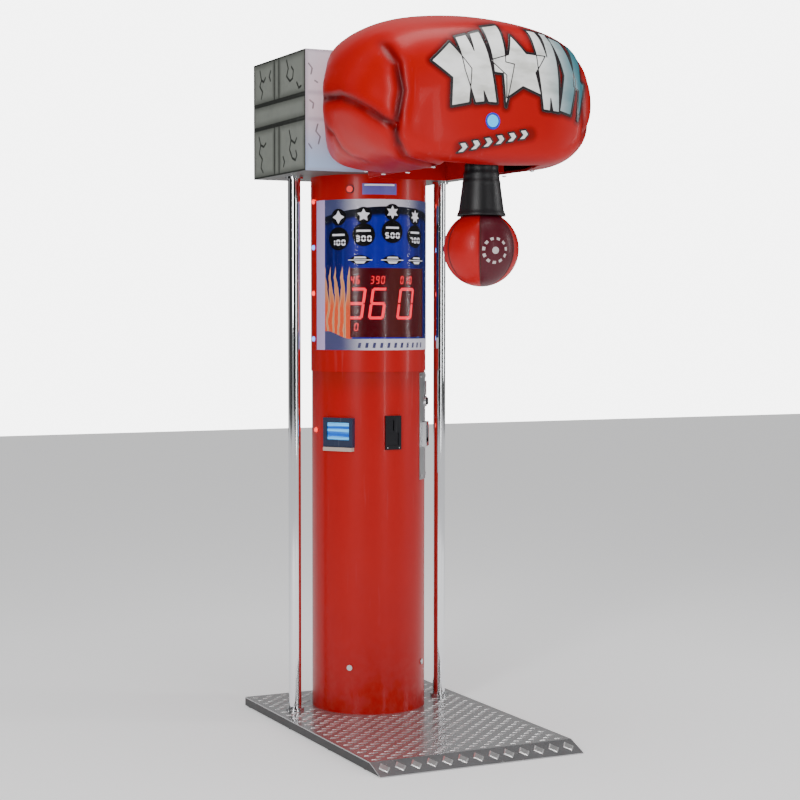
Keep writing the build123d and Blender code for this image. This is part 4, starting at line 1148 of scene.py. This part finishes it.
def seven_bars(text, width, height, pitch, stroke, middle, lean=0.0):
    """Corners of the lit bars of a row of figures, in mm, centred across. Lean shifts the top to the
    right by that share of the height."""
    tiles = []
    half, mid = height / 2, stroke * 0.55
    for place, figure in enumerate(text):
        left = (place - (len(text) - 1) / 2) * pitch - width / 2
        right = left + width
        bars = {
            "a": (left + mid, half - stroke, right - mid, half),
            "b": (right - stroke, mid / 2, right, half - mid),
            "c": (right - stroke, mid - half, right, -mid / 2),
            "d": (left + mid, -half, right - mid, stroke - half),
            "e": (left, mid - half, left + stroke, -mid / 2),
            "f": (left, mid / 2, left + stroke, half - mid),
            "g": (left + mid, -stroke / 2, right - mid, stroke / 2),
        }
        for bar in segment_table[figure]:
            x0, z0, x1, z1 = bars[bar]
            tiles.append([(x0 + lean * z0, middle + z0), (x1 + lean * z0, middle + z0),
                          (x1 + lean * z1, middle + z1), (x0 + lean * z1, middle + z1)])
    return tiles


def box_tile(half_width, low, high):
    """One upright rectangle, centred across, between two heights."""
    return [(-half_width, low), (half_width, low), (half_width, high), (-half_width, high)]


badge_angles = (-55.2, -29.7, -1.3, 26.8)
icon_heights = (1588, 1593, 1603, 1592)
number_heights = (1521, 1533, 1543, 1530)
lens_angles = (-33, -1, 29.4)
lens_height = 1455
badge_low = 185.3
icon_face, lens_face, number_face = 186.2, 186.3, 186.5
print_thickness = 0.4
black_print = make_material("black_print", (0.002, 0.002, 0.003), roughness=0.5, scratch=0.0, shine=0.1)
black_badges = bent_discs("score_badges", icon_heights + number_heights, badge_angles * 2,
                          26, 26, badge_low, icon_face)
number_badges = bent_discs("number_badges", number_heights, badge_angles,
                           36, 36, badge_low + 0.1, number_face)
lens_badges = bent_discs("lens_badges", [lens_height] * 3, lens_angles, 33, 15, badge_low, lens_face, 1.7)
for piece in (black_badges, number_badges, lens_badges):
    wear(piece, black_print)
    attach(piece, "machine")
figure_rows = []
number_top = number_face + print_thickness
for text, angle, height in zip(("100", "300", "500", "700"), badge_angles, number_heights):
    figures = seven_bars(text, 14, 19, 18, 4.6, height - 12)
    rule = [box_tile(22, height + 9, height + 15)]
    figure_rows.append(bent_tiles("target_" + text, figures, angle, number_face, number_top, 2))
    figure_rows.append(bent_tiles("target_rule_" + text, rule, angle, number_face, number_top, 3))
lens_marks = [box_tile(38, 1453.5, 1456), [(-20, 1460), (20, 1460), (16, 1465), (-16, 1465)],
              [(-12, 1444), (12, 1444), (18, 1451), (-18, 1451)]]
for angle in lens_angles:
    name = "lens_bar_%d" % int(angle)
    figure_rows.append(bent_tiles(name, lens_marks, angle, lens_face, lens_face + print_thickness, 4))
for number, (angle, height) in enumerate(zip(badge_angles, icon_heights)):
    icon = star((0, height), 21, 11, 4 + number)
    spokes = [[tuple(icon[2 * k - 1]), tuple(icon[2 * k]), tuple(icon[(2 * k + 1) % len(icon)]), (0, height)]
              for k in range(len(icon) // 2)]
    name = "badge_icon_%d" % number
    figure_rows.append(bent_tiles(name, spokes, angle, icon_face, icon_face + print_thickness, 3))
for piece in figure_rows:
    wear(piece, white_print)
    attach(piece, "machine")

digit_low = 183.9
digit_top = digit_low + print_thickness
score_digits = []
for text, angle in zip("360", (-36.4, -15.8, 14.4)):
    tiles = seven_bars(text, 50 if angle < 0 else 60, 98, 60, 8.5, 1320, 0.14)
    score_digits.append(bent_tiles("score_" + text, tiles, angle, digit_low, digit_top, 8))
for text, angle in (("46", -38), ("390", -16), ("010", 15)):
    tiles = seven_bars(text, 12, 25, 17, 3.6, 1393, 0.1)
    score_digits.append(bent_tiles("best_score_" + text, tiles, angle, digit_low, digit_top, 2))
credit_tiles = seven_bars("0", 13, 24, 20, 3.4, 1247, 0.1)
score_digits.append(bent_tiles("credit", credit_tiles, -36.9, digit_low, digit_top, 2))
faint_glow = make_material("faint_glow", (0.85, 0.01, 0.02), roughness=0.4, scratch=0.0, glow=0.8)
for number, piece in enumerate(score_digits):
    wear(piece, digit_glow if number < 3 else faint_glow)
    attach(piece, "machine")

foot_tile = [[(-5, 1182), (4, 1182), (7, 1198), (-2, 1198)]]
foot_marks = [
    bent_tiles("foot_mark_%d" % int(angle), foot_tile, angle, 184.9, 185.05, 2)
    for angle in np.linspace(-34, 38, 11)
]
navy_print = make_material("navy_print", (0.05, 0.05, 0.16), roughness=0.35, scratch=0.0)
for piece in foot_marks:
    wear(piece, navy_print)
    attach(piece, "machine")
label_bar = bent_tiles("label_bar", [box_tile(48, 1684, 1689)], -14, 185.6, 185.9, 8)
wear(label_bar, white_print)
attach(label_bar, "machine")
print("display pieces:", len(figure_rows) + len(score_digits) + len(foot_marks))

# %% [markdown]
# Raised lozenges on the tread plate
# Rolled tread plate has slim raised lozenges in staggered rows. One lozenge is eight corners, four
# on the plate and four smaller ones above it, and it is repeated wherever it clears the column.
# A bump in the material would do from far off, but only real corners catch the light low down.

# %% Tread lozenges
def lozenges(name, centres, heights, length, width, tall, tilt=0.0):
    """All lozenges as one piece. Each has a diamond foot and a smaller diamond top."""
    corner_x = np.array((-length, 0, length, 0)) / 2
    corner_y = np.array((0, -width, 0, width)) / 2
    foot = np.stack((corner_x, corner_y, np.full(4, -0.3)), -1)
    top = np.stack((corner_x * 0.70, corner_y * 0.62, np.full(4, tall)), -1)
    one = np.vstack((foot, top))
    one[:, 2] += one[:, 1] * tilt
    points = one[None] + np.stack((centres[:, 0], centres[:, 1], heights), -1)[:, None]
    shape = np.array([[3, 2, 1, 0], [4, 5, 6, 7], [0, 1, 5, 4], [1, 2, 6, 5], [2, 3, 7, 6], [3, 0, 4, 7]])
    faces = (shape[None] + 8 * np.arange(len(centres))[:, None, None]).reshape(-1, 4)
    piece = add_object(name, points * mm, faces.tolist(), smooth=False)
    # A paler copy of the plate's metal, as painted highlight.
    wear(piece, tread_painted_highlight)
    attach(piece, "machine")
    return piece


clear_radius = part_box("column_rings")[1].x * 1000 + 19
lozenge_length = 34
column_pitch, row_pitch = 50.0, 24.0
post_x, post_clearance = 257, 44
deck_top = 30.0
ramp_y, ramp_height, ramp_slope = -744.0, 16.2, 0.40
row_y = np.arange(-690, 240, row_pitch)
row_x = np.arange(-300, 313, column_pitch)
grid_x, grid_y = np.meshgrid(row_x, row_y)
grid_x = grid_x + column_pitch / 2 * (np.arange(len(row_y)) % 2)[:, None]
spots = np.stack((grid_x.ravel(), grid_y.ravel()), -1)
clear_of_column = np.hypot(spots[:, 0], spots[:, 1]) > clear_radius
clear_of_posts = np.hypot(np.abs(spots[:, 0]) - post_x, spots[:, 1]) > post_clearance
inside_edge = np.abs(spots[:, 0]) < 310
spots = spots[clear_of_column & clear_of_posts & inside_edge]
deck_marks = lozenges("tread_lozenges", spots, np.full(len(spots), deck_top), lozenge_length, 15, 1.2)
ramp_x = np.arange(-300, 301, column_pitch)
ramp_spots = np.stack((ramp_x, np.full(len(ramp_x), ramp_y)), -1)
ramp_heights = np.full(len(ramp_x), ramp_height)
ramp_marks = lozenges("ramp_lozenges", ramp_spots, ramp_heights, 40, 52, 3.0, ramp_slope)
print("lozenges:", len(spots) + len(ramp_spots), "faces:", count_faces([deck_marks, ramp_marks]))

# %% [markdown]
# Small lit fittings
# Two screws hold each money entry's bezel, and the start button sits in a glowing blue ring. They
# are too small to matter in the exact model, so they are laid on it here, the ring round the
# place where the button's cap is.

# %% Lit fittings
bill_angle = -56
bill_screw_angles = (bill_angle - 14.5, bill_angle + 14.5)
bezel_screws = bent_discs("bezel_screws", (865, 865), bill_screw_angles, 3.6, 3.6, 190, 192.5)
coin_screws = bent_discs("coin_screws", (870, 870), (-6.6, 6.6), 2.6, 2.6, 186, 187.2)
for piece in (bezel_screws, coin_screws):
    wear(piece, chrome)
    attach(piece, "machine")
ring_sides = 48
ring_turn = np.linspace(0, 2 * np.pi, ring_sides, endpoint=False)
cap_low, cap_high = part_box("start_cap")
cap_x = (cap_low.x + cap_high.x) / 2 / mm
cap_z = (cap_low.z + cap_high.z) / 2 / mm
start_ring = np.array([(18.2, -857.0), (22.6, -857.0), (22.6, -857.8), (18.2, -857.8)])
ring_points = np.stack((
    cap_x + start_ring[:, :1] * np.cos(ring_turn),
    np.repeat(start_ring[:, 1:], ring_sides, 1),
    cap_z + start_ring[:, :1] * np.sin(ring_turn),
), -1)
ring_faces = grid_faces(len(start_ring), ring_sides, True, True).tolist()
glow_ring = add_object("start_glow", ring_points * mm, ring_faces)
ring_blue = make_material("ring_blue", (0.0, 0.03, 0.45), roughness=0.3, scratch=0.0, glow=0.6)
wear(glow_ring, ring_blue)
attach(glow_ring, "machine")
print("fitting faces:", count_faces([bezel_screws, coin_screws, glow_ring]))

# %% [markdown]
# Light and floor
# Soft panels at both sides and overhead light the machine against a plain pale floor. Shiny
# paint and chrome need something dark to mirror, so what reflections see of the
# surroundings has darker upright bands than what the camera sees.

# %% World, lights and floor
world = bpy.data.worlds.new("studio")
bpy.context.scene.world = world
world.use_nodes = True
sky = world.node_tree
background = sky.nodes["Background"]
looking = sky.nodes.new("ShaderNodeTexCoord")
direction = sky.nodes.new("ShaderNodeSeparateXYZ")
sky.links.new(looking.outputs["Generated"], direction.inputs[0])
bearing = math_node(sky, "ARCTAN2", direction.outputs["X"], direction.outputs["Y"])
bands = math_node(sky, "SINE", times(sky, bearing, 5.0))
band_share = range_node(sky, bands, -0.2, 0.5, 0.03, 0.50)
above = range_node(sky, direction.outputs["Z"], -0.1, 0.7, 0.5, 1.15)
reflected = times(sky, band_share, above)
eye = sky.nodes.new("ShaderNodeLightPath")
grey = mix_colour(sky, reflected, (0.0, 0.0, 0.0), (1.0, 1.0, 1.0))
soft = mix_colour(sky, eye.outputs["Is Diffuse Ray"], grey, (0.38, 0.38, 0.39))
seen = mix_colour(sky, eye.outputs["Is Camera Ray"], soft, (6.0, 6.0, 6.0))
sky.links.new(seen, background.inputs["Color"])
background.inputs["Strength"].default_value = 1.0


def soft_light(name, place, aim, size, power):
    """A rectangular studio panel aimed at a point."""
    data = bpy.data.lights.new(name, "AREA")
    data.shape = "RECTANGLE"
    data.size = size[0]
    data.size_y = size[1]
    data.energy = power
    lamp = bpy.data.objects.new(name, data)
    bpy.context.scene.collection.objects.link(lamp)
    aim_line = Vector(aim) - Vector(place)
    lamp.rotation_euler = aim_line.to_track_quat("-Z", "Y").to_euler()
    lamp.location = place


soft_light("key", (-3.4, -3.0, 2.6), (0, -0.3, 1.2), (0.7, 2.8), 85)
soft_light("side", (3.6, -2.2, 2.2), (0, -0.3, 1.2), (0.5, 2.6), 42)
soft_light("front", (0.6, -4.6, 1.6), (0, -0.3, 1.1), (0.3, 2.2), 22)
soft_light("top", (0.0, -0.8, 4.4), (0, -0.3, 1.0), (2.2, 1.4), 60)
floor_reach = 14.0
floor_corners = np.array([(-1, -1, 0), (1, -1, 0), (1, 1, 0), (-1, 1, 0)]) * floor_reach
floor = add_object("studio_floor", floor_corners, [[0, 1, 2, 3]], smooth=False)
floor_pale = make_material("floor_pale", (0.93, 0.93, 0.93), roughness=0.8, mottle=0.0, scratch=0.0,
                           glow=0.42)
wear(floor, floor_pale)
print("lights: 4")
